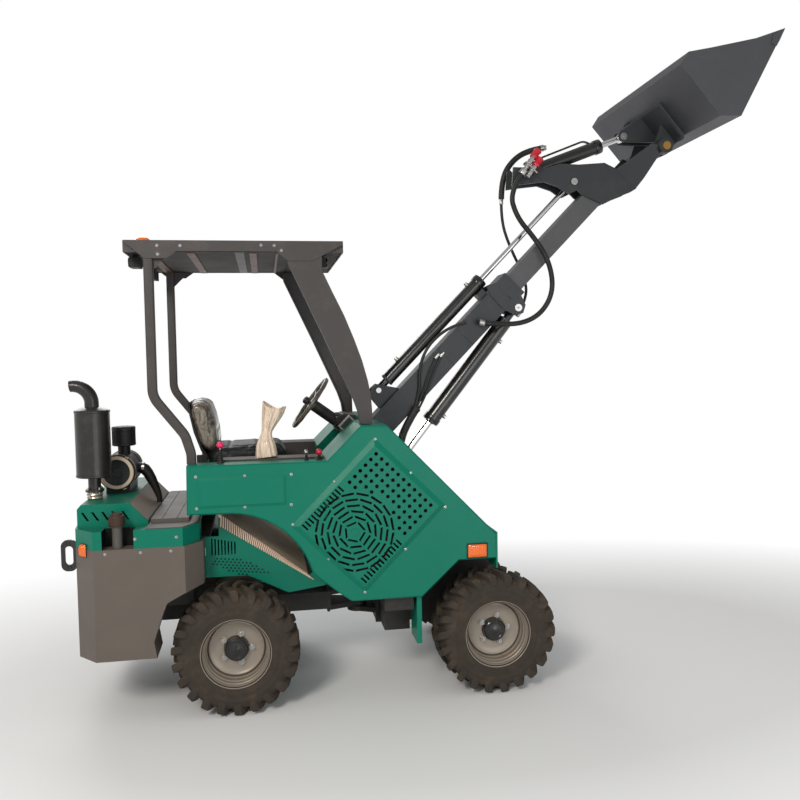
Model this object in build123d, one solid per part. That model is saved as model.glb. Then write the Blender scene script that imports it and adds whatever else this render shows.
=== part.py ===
from build123d import *
from math import atan2, cos, degrees, hypot, radians, sin, tan
import os

os.makedirs("parts", exist_ok=True)

# Compact articulated wheel loader with a telescopic boom.  Millimetres.
# X runs forward from the rear axle, Y to the machine's left and Z up from the ground.
# At the end every piece moves by one vector, so that the origin is the middle of the box, on the ground.

# wheels
tyre_diameter = 590
tyre_width = 215
tread_depth = 22
lugs_a_side = 14
lug_width = 40
lug_sweep = 56
rim_seat_diameter = 304.8
rim_lip_diameter = 325
hub_diameter = 108
wheel_disc_diameter = 262
spindle_diameter = 50
track = 880
wheelbase = 1245

# overall body
body_width = 1064
press_height = 14
press_flank = 25
panel_chamfer = 7
arch_centre = (-25, 545)
arch_radius = 398
sheet = 6
frame_plate = 20
joint_gap = 5
fit_gap = 0.3
tube_sides = 6

# canopy
post_spacing = 880
post_size = 42
roof_underside = 2135
roof_thickness = 53
roof_rear = -452
roof_front = 540
roof_width = 900

# boom and its three cylinders
boom_angle = 45.5
boom_pivot_x = 680
boom_pivot_z = 1198
boom_pin_diameter = 50
outer_boom_height = 130
outer_boom_width = 124
outer_boom_wall = 8
outer_boom_length = 1166
inner_boom_height = 105
inner_boom_width = 100
inner_boom_start = 640
inner_boom_end = 1880
channel_half = 155
cylinder_pin_diameter = 28
lift_pin_diameter = 32
lift_pin_setback = 84
lift_pin_below = 105
lift_foot_x = 741
lift_foot_z = 927
lift_barrel_diameter = 85
lift_barrel_length = 770
lift_rod_diameter = 36
extend_height = 138
extend_base_along = 245
extend_eye_along = 1790
extend_barrel_diameter = 70
extend_barrel_length = 817
extend_rod_diameter = 28
tilt_base_along = 1623
tilt_base_above = 363
tilt_barrel_diameter = 70
tilt_barrel_length = 481
tilt_rod_diameter = 32

# coupler and bucket: the tilt pin's place on the boom line, then offsets from that pin
tilt_pin_along = 2226
tilt_pin_below = 71
tilt_pin_diameter = 44
tilt_link_back = 156
tilt_link_up = 92
bucket_width = 1080
bucket_sheet = 8
bucket_corners = {"top": (-96, 304), "heel": (115, 64), "floor": (226, 68), "lip": (459, 502)}

half_body = body_width / 2
tyre_radius = tyre_diameter / 2
half_track = track / 2
half_post = post_size / 2
articulation_x = wheelbase / 2
lift_pin_along = outer_boom_length - lift_pin_setback


# ---- shapes ----
def across(outline, y_low, y_high, at=(0, 0), angle=0):
    # a closed outline in X and Z, as thick as the stretch of Y it is given
    plane = Plane(origin=(at[0], y_high, at[1]),
                  x_dir=(cos(radians(angle)), 0, sin(radians(angle))), z_dir=(0, -1, 0))
    return extrude(plane * Polygon(*outline, align=None), amount=y_high - y_low, dir=(0, -1, 0))


def on_boom(outline, y_low, y_high):
    return across(outline, y_low, y_high, (boom_pivot_x, boom_pivot_z), boom_angle)


def level(outline, z_low, z_high):
    # a closed outline in X and Y
    return extrude(Plane.XY.offset(z_low) * Polygon(*outline, align=None), amount=z_high - z_low, dir=(0, 0, 1))


def block(x_low, x_high, y_low, y_high, z_low, z_high):
    return Pos(x_low, y_low, z_low) * Box(x_high - x_low, y_high - y_low, z_high - z_low,
                                         align=(Align.MIN, Align.MIN, Align.MIN))


def shaft(x, z, diameter, y_low, y_high):
    # a cylinder across the machine
    return Pos(x, y_low, z) * Cylinder(diameter / 2, y_high - y_low, rotation=(-90, 0, 0),
                                       align=(Align.CENTER, Align.CENTER, Align.MIN))


def post(x, y, diameter, z_low, z_high):
    return Pos(x, y, z_low) * Cylinder(diameter / 2, z_high - z_low,
                                       align=(Align.CENTER, Align.CENTER, Align.MIN))


def rod(start, end, diameter):
    line = Vector(end) - Vector(start)
    return Plane(origin=start, z_dir=line) * Cylinder(diameter / 2, line.length,
                                                      align=(Align.CENTER, Align.CENTER, Align.MIN))


def spin(outline, x, y, z, side):
    # an outline of (out, radius) pairs turned about an axle at x, z; out grows away from the machine
    face = Plane.YZ * Polygon(*[(side * out, radius) for out, radius in outline], align=None)
    return Pos(x, y, z) * revolve(face, Axis.Y)


def ribbon(points, width):
    # the outline of a bent bar of one width along a line of points in X and Z
    def offset_side(sign):
        out = []
        for i, (x, z) in enumerate(points):
            before = points[max(i - 1, 0)]
            after = points[min(i + 1, len(points) - 1)]
            turns = []
            for a, b in ((before, (x, z)), ((x, z), after)):
                run = hypot(b[0] - a[0], b[1] - a[1])
                if run > 0:
                    turns.append((-(b[1] - a[1]) / run, (b[0] - a[0]) / run))
            nx = sum(t[0] for t in turns) / len(turns)
            nz = sum(t[1] for t in turns) / len(turns)
            scale = sign * width / 2 / (nx * nx + nz * nz)
            out.append((x + nx * scale, z + nz * scale))
        return out
    return offset_side(1) + offset_side(-1)[::-1]


def both(shape):
    return [shape, mirror(shape, about=Plane.XZ)]


def inset(outline, amount):
    # a closed outline moved inwards, each corner to where its two moved edges meet
    area = sum(a[0] * b[1] - b[0] * a[1] for a, b in zip(outline, outline[1:] + outline[:1]))
    turn = 1 if area > 0 else -1
    moved = []
    for i, (x, z) in enumerate(outline):
        before = outline[i - 1]
        after = outline[(i + 1) % len(outline)]
        normals = []
        for a, b in ((before, (x, z)), ((x, z), after)):
            run = hypot(b[0] - a[0], b[1] - a[1])
            normals.append((-turn * (b[1] - a[1]) / run, turn * (b[0] - a[0]) / run))
        nx = (normals[0][0] + normals[1][0]) / 2
        nz = (normals[0][1] + normals[1][1]) / 2
        scale = amount / (nx * nx + nz * nz)
        moved.append((x + nx * scale, z + nz * scale))
    return moved


def boom_point(along, above):
    a = radians(boom_angle)
    return (boom_pivot_x + along * cos(a) - above * sin(a), boom_pivot_z + along * sin(a) + above * cos(a))


def on_boom_at(points, y):
    # places along and above the boom as points in space
    return [(x, y, z) for x, z in (boom_point(along, above) for along, above in points)]


def tube(points, diameter):
    # a six-sided tube in one X-Z plane; each corner is an arc that takes 45% of the shorter run beside it
    corners = [Vector(point) for point in points]
    radii = []
    for before, corner, after in zip(corners, corners[1:], corners[2:]):
        turn = radians((corner - before).get_angle(after - corner))
        shorter = min((corner - before).length, (after - corner).length)
        radii.append(0.45 * shorter / tan(turn / 2))
    print("tube of diameter", diameter, "has bend radii", [round(radius) for radius in radii])
    path = FilletPolyline(*corners, radius=radii)
    section = Plane(origin=path @ 0, x_dir=(0, 1, 0), z_dir=path % 0) * RegularPolygon(diameter / 2, tube_sides)
    return sweep(section, path=path)


def pressed(sheet_solid, centre, angle, length, width, height, flank):
    # a rectangle with sloping flanks pressed out of the panel's outer face
    plane = Plane(origin=(centre[0], half_body, centre[1]),
                  x_dir=(cos(radians(angle)), 0, sin(radians(angle))), z_dir=(0, -1, 0))

    def frustum(grow, low, high):
        base = Plane(origin=plane.origin + Vector(0, low, 0), x_dir=plane.x_dir, z_dir=plane.z_dir)
        crown = Plane(origin=plane.origin + Vector(0, high, 0), x_dir=plane.x_dir, z_dir=plane.z_dir)
        return loft([base * Rectangle(length + 2 * (flank + grow), width + 2 * (flank + grow)),
                     crown * Rectangle(length + 2 * grow, width + 2 * grow)])
    formed = sheet_solid + frustum(0, 0, height)
    return formed - frustum(-sheet / 2, -sheet, height - sheet), plane


def fused(shapes):
    whole = shapes[0]
    for shape in shapes[1:]:
        whole += shape
    return whole


nodes = {}

# ---- wheels: a tyre and a dished rim each ----
half_tyre = tyre_width / 2
carcass = tyre_radius - tread_depth
seat = rim_seat_diameter / 2
lip = rim_lip_diameter / 2
bead = half_tyre - 9 - fit_gap
flats = 2 * lugs_a_side
lug_reach = (lug_sweep + lug_width) / 2
lug_face = (tyre_radius ** 2 - lug_reach ** 2) ** 0.5
lug_turn = degrees(atan2(lug_reach, lug_face))
lug_root = 26
lug_start = 4
lug_end = half_tyre - 4


def ring_of_flats(outline):
    # a ruled body of revolution with one flat for each lug; its outline holds (out, radius) pairs
    sections = [Pos(0, out, 0) * (Plane.XZ * RegularPolygon(radius, flats, major_radius=False))
                for out, radius in outline]
    return loft(sections, ruled=True)


def lugged_tyre():
    # bars run from the middle of the tread back to each shoulder, staggered left and right
    shoulder = half_tyre - 24
    solid = ring_of_flats([(-half_tyre, lip + 52), (-shoulder, carcass), (shoulder, carcass), (half_tyre, lip + 52)])
    solid -= ring_of_flats([(-half_tyre - 1, seat + fit_gap), (half_tyre + 1, seat + fit_gap)])
    for edge in (-1, 1):
        solid -= ring_of_flats([(edge * bead, lip + 3), (edge * (half_tyre + 1), lip + 9)])
    bars = []
    for half, stagger in ((-1, 0), (1, 0.5)):
        foot = Plane(origin=(0, 0, carcass - lug_root), x_dir=(1, 0, 0), z_dir=(0, 0, 1))
        bar = [(-lug_reach, half * lug_start), (lug_width - lug_reach, half * lug_start),
               (lug_reach, half * lug_end), (lug_reach - lug_width, half * lug_end)]
        prism = extrude(foot * Polygon(*bar, align=None), amount=lug_face - carcass + lug_root, dir=(0, 0, 1))
        for number in range(lugs_a_side):
            bars.append(Rot(0, (number + stagger) * 360 / lugs_a_side - lug_turn, 0) * prism)
    return solid + bars


tyre = lugged_tyre()
lip_out = half_tyre - 3
rim_wall = 5
disc_edge = wheel_disc_diameter / 2
bore = spindle_diameter / 2 + fit_gap
dish_back = disc_edge + 4
rim_outline = [(-lip_out, seat - rim_wall), (-lip_out, lip), (-lip_out + 6, lip), (-lip_out + 6, seat),
               (lip_out - 6, seat), (lip_out - 6, lip), (lip_out, lip), (lip_out, seat - rim_wall),
               (57, seat - rim_wall - 3), (29, disc_edge), (8, disc_edge - 2), (8, hub_diameter / 2),
               (50, hub_diameter / 2 - 4), (50, 0), (30, 0), (30, bore), (-6, bore), (-6, 64), (0, 64),
               (0, dish_back), (24, dish_back), (52, seat - rim_wall)]
for end, wheel_x in (("rear", 0), ("front", wheelbase)):
    for side_name, side in (("right", -1), ("left", 1)):
        where = f"{end}_{side_name}"
        nodes[f"tyre_{where}"] = [Pos(wheel_x, side * half_track, tyre_radius) * tyre]
        nodes[f"rim_{where}"] = [spin(rim_outline, wheel_x, side * half_track, tyre_radius, side)]

# ---- axles ----
axle_diameter = 90
axle_pad = 10
hub_face = half_track - 6 - joint_gap
spindle_end = half_track + 30 - 2


def axle(x, case_diameter, case_half):
    beam = shaft(x, tyre_radius, axle_diameter, -hub_face, hub_face)
    beam += shaft(x, tyre_radius, spindle_diameter, -spindle_end, spindle_end)
    beam += shaft(x, tyre_radius, case_diameter, -case_half, case_half)
    for y_low in (-hub_face, hub_face - 30):
        beam += shaft(x, tyre_radius, 150, y_low, y_low + 30)
    for y_low in (-rail_out, rail_in):
        beam += block(x - 60, x + 60, y_low, y_low + frame_plate, tyre_radius,
                      tyre_radius + axle_diameter / 2 + axle_pad)
    return beam


rail_in = 118
rail_out = rail_in + frame_plate
rail_low = tyre_radius + axle_diameter / 2 + axle_pad
nodes["front_axle"] = [axle(wheelbase, 190, 80)]
nodes["rear_axle"] = [axle(0, 190, 80)]

hump_floor = 500
# ---- front chassis: two plates that rise to the boom's pivot, joined by webs, with the hinge's outer lugs ----
hinge_pin = 40
lug_plate = 25
lug_radius = 55
hinge_low = 300
hinge_high = 440
chassis_rear = articulation_x + lug_radius + 25
tower = [(chassis_rear, 262), (1130, 262), (1150, rail_low), (1330, rail_low), (1330, 520), (1180, 700),
         (930, 960), (745, 1220), (720, 1255), (640, 1255), (610, 1220), (560, 1000), (560, 540),
         (chassis_rear, 500)]
hull = []
boom_pin_bore = shaft(boom_pivot_x, boom_pivot_z, boom_pin_diameter + 2 * fit_gap, -rail_out, rail_out)
for y_low in (-rail_out, rail_in):
    hull.append(across(tower, y_low, y_low + frame_plate) - boom_pin_bore)
inside = (-rail_in - 4, rail_in + 4)
hull.append(block(chassis_rear + 3, 1126, *inside, 265, 277))
hull.append(block(1314, 1326, *inside, 410, 515))
hull.append(block(chassis_rear + 3, chassis_rear + 18, *inside, 270, 496))
hull.append(block(chassis_rear + 10, 1318, *inside, 488, 500))
hull.append(block(564, 576, *inside, 530, 990))
for z_low in (hinge_low, hinge_high):
    lug = level([(articulation_x, -lug_radius + 2), (chassis_rear + 6, -100), (chassis_rear + 6, 100),
                 (articulation_x, lug_radius - 2)], z_low, z_low + lug_plate)
    lug += post(articulation_x, 0, 2 * lug_radius, z_low, z_low + lug_plate)
    lug -= post(articulation_x, 0, hinge_pin + 2 * fit_gap, z_low, z_low + lug_plate)
    hull.append(lug)
cheek = [(lift_foot_x - 50, 494), (lift_foot_x + 70, 494), (lift_foot_x + 40, lift_foot_z + 10),
         (lift_foot_x, lift_foot_z + 42), (lift_foot_x - 40, lift_foot_z + 10)]
for y_low in (-44, 32):
    ear = across(cheek, y_low, y_low + 12)
    ear -= shaft(lift_foot_x, lift_foot_z, lift_pin_diameter + 2 * fit_gap, y_low, y_low + 12)
    hull.append(ear)
outrigger = block(700, 840, rail_out - 4, half_body - 40, 430, hump_floor - fit_gap)
hull += both(outrigger)
chassis = hull[0]
for piece in hull[1:]:
    chassis += piece
nodes["front_chassis"] = [chassis]
pins = [shaft(boom_pivot_x, boom_pivot_z, boom_pin_diameter, -rail_out - 6, rail_out + 6),
        post(articulation_x, 0, hinge_pin, hinge_low - 8, hinge_high + lug_plate + 8)]
pins += both(shaft(lift_foot_x, lift_foot_z, lift_pin_diameter, 27, 50))
nodes["frame_pins"] = pins

# ---- hump and side rails: closed sheet boxes behind the side panels ----
rail_box = 415
panel_return = 27
fold_in = half_body - panel_return
split_x = 432
hump_front = 1244
rail_top = 1168
arch = [(arch_centre[0] + arch_radius * sin(radians(turn)), arch_centre[1] + arch_radius * cos(radians(turn)))
        for turn in range(5, 76, 7)]
rail_under = [(-202, arch[0][1] + 3)] + arch + [(384, 621)]
hump_under = [(489, 537), (540, hump_floor), (878, hump_floor), (1058, 665), (hump_front, 665)]
hump_over = [(hump_front, 785), (723, 1323), (597, 1327), (438, rail_top)]
panel_outline = rail_under + hump_under + hump_over + [(-198, rail_top)]
hump_outline = [(split_x, 583)] + hump_under + hump_over + [(split_x, rail_top)]
rail_outline = rail_under + [(split_x - fit_gap, 583), (split_x - fit_gap, rail_top), (-198, rail_top)]


def sheet_box(outline, y_low, y_high):
    # walls of one sheet along an outline, closed on its inner side and open on its outer one
    return across(outline, y_low, y_high) - across(inset(outline, sheet), y_low + sheet, y_high)


nodes["hump"] = both(sheet_box(hump_outline, channel_half, fold_in - fit_gap))
nodes["side_rails"] = both(sheet_box(rail_outline, rail_box, fold_in - fit_gap))


# ---- side panels: folded trays with a pressed rectangle and its punched grille ----
press_centre = (630, 904)
press_angle = 45.3
press_length = 510
press_width = 425
rail_press_centre = (47, 1043)
rail_press_length = 375
rail_press_width = 115
fan_back = 102.6
fan_rings = [(182, 16), (155, 14), (128, 11), (101, 9), (74, 7), (47, 5)]
fan_slot = 11
fan_slot_share = 0.84
fan_boss_diameter = 34
hole_pitch = 36
hole_diameter = 20
hole_rows = 6
holes_half_row = 5
slot_count = 13
slot_pitch = 20
slot_length = 36
slot_width = 9


def grille_cuts(press):
    # round holes up the far end, concentric broken rings for the fan, and a row of slots down each long edge
    cuts = []
    for row in range(hole_rows):
        for column in range(-holes_half_row, holes_half_row + 1):
            u = 51 + row * hole_pitch
            v = column * hole_pitch
            if hypot(u + fan_back, v) > fan_rings[0][0] + 17:
                cuts.append(Pos(u, v) * RegularPolygon(hole_diameter / 2, 6))
    for radius, count in fan_rings:
        step = 360 / count
        for number in range(count):
            start = radians(number * step + step * (radius % 2) / 2)
            span = radians(step * fan_slot_share)
            ends = (start, start + span)
            edge = [(radius + fan_slot / 2, t) for t in ends] + [(radius - fan_slot / 2, t) for t in ends[::-1]]
            cuts.append(Pos(-fan_back, 0) * Polygon(*[(r * cos(t), r * sin(t)) for r, t in edge], align=None))
    for number in range(slot_count):
        u = -press_length / 2 + 16 + number * slot_pitch
        for v in (-press_width / 2 + 24, press_width / 2 - 24):
            cuts.append(Pos(u, v) * Rectangle(slot_width, slot_length))
    return [extrude(press * cut, amount=sheet + 2, both=True) for cut in cuts]


def side_panel():
    tray = across(panel_outline, fold_in, half_body)
    outer_edge = tray.faces().sort_by(Axis.Y)[-1].edges()
    tray = chamfer(outer_edge, panel_chamfer)
    tray -= across(inset(panel_outline, sheet), fold_in, half_body - sheet)
    tray, _ = pressed(tray, rail_press_centre, 0, rail_press_length, rail_press_width, press_height / 2, press_flank / 2)
    tray, press = pressed(tray, press_centre, press_angle, press_length, press_width, press_height, press_flank)
    crown = Plane(origin=press.origin + Vector(0, press_height - sheet / 2, 0), x_dir=press.x_dir, z_dir=press.z_dir)
    tray -= grille_cuts(crown)
    boss = crown * Pos(-fan_back, 0) * Circle(fan_boss_diameter / 2)
    return tray + extrude(boss, amount=sheet, both=True)


nodes["side_panels"] = both(side_panel())

# ---- seat box between the rails, consoles and a sloping foot ramp ----
seat_box_top = 1110
console_top = 1176
seat_box = block(-196, 120, -rail_box + fit_gap, rail_box - fit_gap, 950, seat_box_top)
console = block(-60, split_x - fit_gap, 300, rail_box - fit_gap, seat_box_top - 30, console_top)
nodes["seat_box"] = [seat_box + both(console)]
guard_half = 330
guard_sheet = 5
guard_floor = 602
guard_back = -120
guard_step = -75
guard_slots = 8
guard_slot_pitch = 15.4
belly_front = split_x - fit_gap
tread_foot = 318
guard_inside = (-guard_half + guard_sheet - 1, guard_half - guard_sheet + 1)
upper_side = [(guard_back, guard_floor), (guard_back, 800), (guard_step, 800), (guard_step, 894),
              (tread_foot, guard_floor)]
lower_side = [(60, guard_floor - fit_gap), (250, 505), (belly_front, 530), (belly_front, 640), (348, 579.8),
              (tread_foot, guard_floor - fit_gap)]
belly = [(60, guard_floor - fit_gap), (250, 505), (belly_front, 530), (belly_front, 536), (252, 511),
         (72, guard_floor - fit_gap)]
guard_upper = []
guard_lower = [across(belly, *guard_inside)]
for y_low in (-guard_half, guard_half - guard_sheet):
    plate = across(upper_side, y_low, y_low + guard_sheet)
    for number in range(guard_slots):
        x = guard_back + 8 + number * guard_slot_pitch
        plate -= block(x, x + 7, y_low, y_low + guard_sheet, 708, 790 - number * 3)
    guard_upper.append(plate)
    guard_lower.append(across(lower_side, y_low, y_low + guard_sheet))
for x_low, x_high, z_low, z_high in ((guard_back, 60, guard_floor, guard_floor + 6),
                                     (guard_back, guard_back + 5, guard_floor, 800),
                                     (guard_step, guard_step + 5, 800, 890)):
    guard_upper.append(block(x_low, x_high, *guard_inside, z_low, z_high))
nodes["foot_guard"] = [fused(guard_upper), fused(guard_lower)]
floor_line = [(-75, 905), (-75, 894 + fit_gap), (341, 585 + fit_gap), (346, 592), (-62, 905)]
floor_plate = across(floor_line, -guard_half - 2, guard_half + 2)
nodes["foot_plate"] = [floor_plate]

# ---- seat ----
seat_cushion = across([(-150, seat_box_top + fit_gap), (260, seat_box_top + fit_gap), (275, 1180), (250, 1215),
                       (-110, 1205), (-160, 1170)], -230, 230)
seat_back = across([(-165, 1150), (-100, 1190), (-150, 1440), (-185, 1462), (-215, 1445), (-205, 1250)], -215, 215)
nodes["seat"] = [seat_cushion + seat_back]

# ---- steering column, wheel, instrument box, levers ----
steer_diameter = 300
wheel_middle = (395, 0, 1411)
wheel_rake = Vector(-236, 0, 174).normalized()
steer_plane = Plane(origin=wheel_middle, x_dir=(0, 1, 0), z_dir=wheel_rake)
column_top = Vector(*wheel_middle) - wheel_rake * (26 + fit_gap)
column = rod(column_top - wheel_rake * 190, column_top, 60)
instrument_box = across([(520, 1335), (560, 1355), (625, 1345), (625, 1300), (560, 1230)], -100, 100)
dash = block(562, 606, -channel_half + fit_gap, channel_half - fit_gap, 1302, 1320)
nodes["steering_column"] = [column + instrument_box + dash]
grip = revolve(Plane.XZ * Pos(steer_diameter / 2, 0) * RegularPolygon(13, 6), Axis.Z)
nodes["steering_wheel"] = [steer_plane * grip
                           + steer_plane * Pos(0, 0, -14) * Cylinder(35, 24)
                           + steer_plane * Box(steer_diameter - 10, 26, 8)]
nodes["joystick"] = [rod((198, -358, console_top + 12), (205, -340, 1330), 24)
                     + Pos(208, -338, 1375) * Cylinder(27, 100)
                     + post(198, -358, 110, console_top + fit_gap, 1200)]

lever_y = -(rail_box + fold_in) / 2
levers = []
for x, boot_top, knob_z, knob in ((-60, 1222, 1243, 34), (345, 1196, 1206, 22), (405, 1192, 1204, 30)):
    boot = knob / 2 + 1
    profile = [(0, rail_top + fit_gap), (boot, rail_top + fit_gap), (boot - 3, boot_top), (5, boot_top),
               (5, knob_z - knob / 2), (knob / 2, knob_z - knob / 4), (knob / 2, knob_z + knob / 4), (0, knob_z + knob / 2)]
    levers.append(Pos(x, lever_y, 0) * revolve(Plane.XZ * Polygon(*profile, align=None), Axis.Z))
nodes["levers"] = levers

# ---- canopy ----
rear_post_line = [(-181, rail_top + fit_gap), (-181, 1200), (-204, 1301), (-344, 1481),
                  (-344, roof_underside - fit_gap)]
pillar = [(278, roof_underside - fit_gap), (440, roof_underside - fit_gap), (438, 2054), (484, 1954), (582, 1732),
          (644, 1533), (660, 1424), (662, 1328), (603, 1328), (576, 1440), (438, 1748), (282, 2086)]
posts = []
for side in (-1, 1):
    y_low = side * post_spacing / 2 - half_post
    posts.append(across(ribbon(rear_post_line, post_size), y_low, y_low + post_size))
    posts.append(across(pillar, y_low, y_low + post_size))
    posts[-2] += across([(-330, roof_underside - fit_gap), (-245, roof_underside - fit_gap), (-330, 2050)],
                        y_low + half_post - 3, y_low + half_post + 3)
nodes["canopy_posts"] = posts
roof_top = roof_underside + roof_thickness
roof = block(roof_rear, roof_front, -roof_width / 2, roof_width / 2, roof_underside, roof_top)
roof -= block(roof_rear + sheet, roof_front - sheet, -roof_width / 2 + sheet, roof_width / 2 - sheet,
              roof_underside, roof_top - sheet)
for x_rib in (-345 - half_post, 40, 300):
    roof += block(x_rib, x_rib + post_size, -roof_width / 2 + sheet, roof_width / 2 - sheet,
                  roof_underside, roof_top - sheet)
nodes["canopy_roof"] = [roof]
nodes["beacon"] = [post(-411, -100, 90, roof_top + fit_gap, roof_top + 20) + post(-411, -100, 76, roof_top + 20, 2252)]
work_lamps = []
lamp_ceiling = roof_top - sheet - fit_gap
for x_lamp, z_lamp in ((-420, 2118), (447, 2118)):
    for side in (-1, 1):
        lamp = block(x_lamp - 28, x_lamp + 28, side * 300 - 45, side * 300 + 45, z_lamp - 40, z_lamp + 12)
        work_lamps.append(lamp + block(x_lamp - 12, x_lamp + 12, side * 300 - 12, side * 300 + 12, z_lamp, lamp_ceiling))
nodes["work_lamps"] = work_lamps

# ---- front plate and marker lamps ----
front_plate = block(hump_front + fit_gap, hump_front + 8, channel_half + 10, half_body - 8, 616, 790)
nodes["marker_lamps"] = both(block(1096, 1199, half_body + fit_gap, half_body + 15, 671, 745))
skirt = block(854, 878, 345, fold_in - 5, 264, hump_floor - fit_gap)
nodes["front_plates"] = both(front_plate) + both(skirt)
nodes["belly_tank"] = [block(chassis_rear + 20, 850, -320, -rail_out - fit_gap, 278, 425)]

# ---- rear chassis: two rails, cross webs and the hinge's tongue ----
tongue_radius = 50
tail_front = -665
rear_rails = []
for y_low in (-rail_out, rail_in):
    rear_rails.append(block(tail_front + fit_gap, 470, y_low, y_low + frame_plate, rail_low, 440))
rear_rails.append(block(-655, -640, *inside, rail_low + 4, 436))
rear_rails.append(block(452, 466, *inside, 330, 436))
inner_low = hinge_low + lug_plate + joint_gap
inner_high = hinge_high - joint_gap - lug_plate
for z_low in (inner_low, inner_high):
    tongue = level([(460, -100), (articulation_x, -tongue_radius + 2), (articulation_x, tongue_radius - 2), (460, 100)],
                   z_low, z_low + lug_plate)
    tongue += post(articulation_x, 0, 2 * tongue_radius, z_low, z_low + lug_plate)
    tongue -= post(articulation_x, 0, hinge_pin + 2 * fit_gap, z_low, z_low + lug_plate)
    rear_rails.append(tongue)
rear_chassis = rear_rails[0]
for piece in rear_rails[1:]:
    rear_chassis += piece
nodes["rear_chassis"] = [rear_chassis]
nodes["engine"] = [block(-560, -215, -200, 200, 440 + fit_gap, 800)]

# ---- rear body: side weights over the wheels, a tail weight, the hood and the deck ----
body_side = [(-705, 300), (-350, 300), (-362, 375), (-328, 480), (-299, 549), (-222, 590), (-77, 622),
             (-140, 700), (-140, 806), (-705, 806)]
chamfer_front = (-614, half_body)
chamfer_rear = (-705, half_body - 102)
plan_left = [(-140, 330), (-140, half_body - 92), (-216, half_body), chamfer_front, chamfer_rear, (-705, 330)]
weight = across(body_side, 200, half_body) & level(plan_left, 200, 900)
tail = level([(tail_front, -330), (-705, -330), (-722, -300), (-722, 300), (-705, 330), (tail_front, 330)], 300, 806)
nodes["rear_weights"] = [fused([tail] + both(weight))]
half_band = [(-720, 300), (-705, half_body - 104), (-612, half_body), (-222, half_body), (-156, half_body - 102)]
band_plan = half_band + [(x, -y) for x, y in half_band[::-1]]
band_top = 890
band = level(band_plan, 806 + fit_gap, band_top)
band -= block(-690, -120, -322, 322, 806, band_top - sheet)
filler_x = -512
filler_y = -half_body + 42
band -= block(filler_x - 61, filler_x + 76, -half_body - 1, -half_body + 84, 806, band_top + 1)
hood_side = [(-697, band_top - 2), (-697, 975), (-680, 995), (-469, 995), (-386, 906), (-386, band_top - 2)]
hood_half = half_body - 112
upper = across(hood_side, -hood_half, hood_half)
upper -= across(inset(hood_side, sheet), -hood_half + sheet, hood_half - sheet)
upper -= block(-690, -393, -hood_half + sheet, hood_half - sheet, band_top - sheet - 1, band_top + 6)
louvre = [(-18, 22), (-7, 22), (18, -18), (7, -18)]
for x in (-662, -618, -574, -530, -486):
    upper -= across([(x + dx, 938 + dz) for dx, dz in louvre], -hood_half - 1, hood_half + 1)
nodes["hood"] = [band + upper]
deck_plan = [(-384, half_body - 8), (-224, half_body - 8), (-164, half_body - 106)]
deck_plan += [(x, -y) for x, y in deck_plan[::-1]]
deck = level(deck_plan, band_top + fit_gap, band_top + 4)
deck += block(-377, -205, -hood_half + 20, hood_half - 20, band_top + 3, 912)
nodes["deck"] = [deck]
muffler_at = (-649, -250)
nodes["muffler"] = [post(*muffler_at, 164, 1100, 1423) + post(*muffler_at, 60, 1040, 1101)
                    + post(*muffler_at, 86, 1030, 1041) + post(*muffler_at, 66, 995 + fit_gap, 1031)
                    + post(*muffler_at, 66, 1422, 1500) + rod((-649, -250, 1488), (-727, -250, 1535), 60)]
cleaner_at = (-540, -60)
outlet_x = -470
nodes["air_cleaner"] = [shaft(-566, 1101, 176, -150, 150) + post(*cleaner_at, 60, 1150, 1228)
                        + post(*cleaner_at, 115, 1227, 1322) + rod((-540, 20, 1101), (outlet_x, 20, 1101), 54)
                        + block(-590, -540, -60, 60, 995 + fit_gap, 1060)]
intake_route = [(outlet_x + fit_gap, 20, 1101), (-403, 20, 1101), (-403, 20, 990), (-435.8, 20, 959.8)]
nodes["intake_hose"] = [tube(intake_route, 46)]
nodes["filler"] = [post(filler_x, filler_y, 46, 806 + fit_gap, 908) + post(filler_x, filler_y, 72, 907, 965)]
chamfer_run = Vector(chamfer_rear[0] - chamfer_front[0], chamfer_rear[1] - chamfer_front[1]).normalized()
chamfer_out = Vector(chamfer_run.Y, -chamfer_run.X)
lamp_start = Vector(*chamfer_front) + chamfer_run * 45
lamp_plan = [lamp_start + chamfer_out * fit_gap, lamp_start + chamfer_run * 45 + chamfer_out * fit_gap,
             lamp_start + chamfer_run * 45 + chamfer_out * 20, lamp_start + chamfer_out * 20]
nodes["rear_lamps"] = both(level([(corner.X, corner.Y) for corner in lamp_plan], 770, 830))
bracket = block(-776, -722 - fit_gap, -70, 70, 706, 835) - block(-757, -722, -60, 60, 700, 820)
nodes["tow_bracket"] = [bracket]

# ---- outer boom ----
half_high = outer_boom_height / 2
half_wide = outer_boom_width / 2
cavity_high = half_high - outer_boom_wall
cavity_wide = half_wide - outer_boom_wall
extend_fork = 24
outer = on_boom([(-58, -half_high + 20), (-40, -half_high), (outer_boom_length, -half_high),
                 (outer_boom_length, half_high), (-40, half_high), (-58, half_high - 20)], -half_wide, half_wide)
outer -= on_boom([(-45, -cavity_high), (outer_boom_length, -cavity_high), (outer_boom_length, cavity_high),
                  (-45, cavity_high)], -cavity_wide, cavity_wide)
outer += shaft(boom_pivot_x, boom_pivot_z, 100, -rail_in + joint_gap, rail_in - joint_gap)
outer -= shaft(boom_pivot_x, boom_pivot_z, boom_pin_diameter + 2 * fit_gap, -rail_in, rail_in)
boom_end = outer_boom_length
collar = on_boom([(boom_end - 46, -half_high - 8), (boom_end, -half_high - 8), (boom_end, half_high + 10),
                  (boom_end - 76, half_high + 10), (boom_end - 76, -half_high + 5), (boom_end - 46, -half_high + 5)],
                 -half_wide - 10, half_wide + 10)
outer += collar
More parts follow.
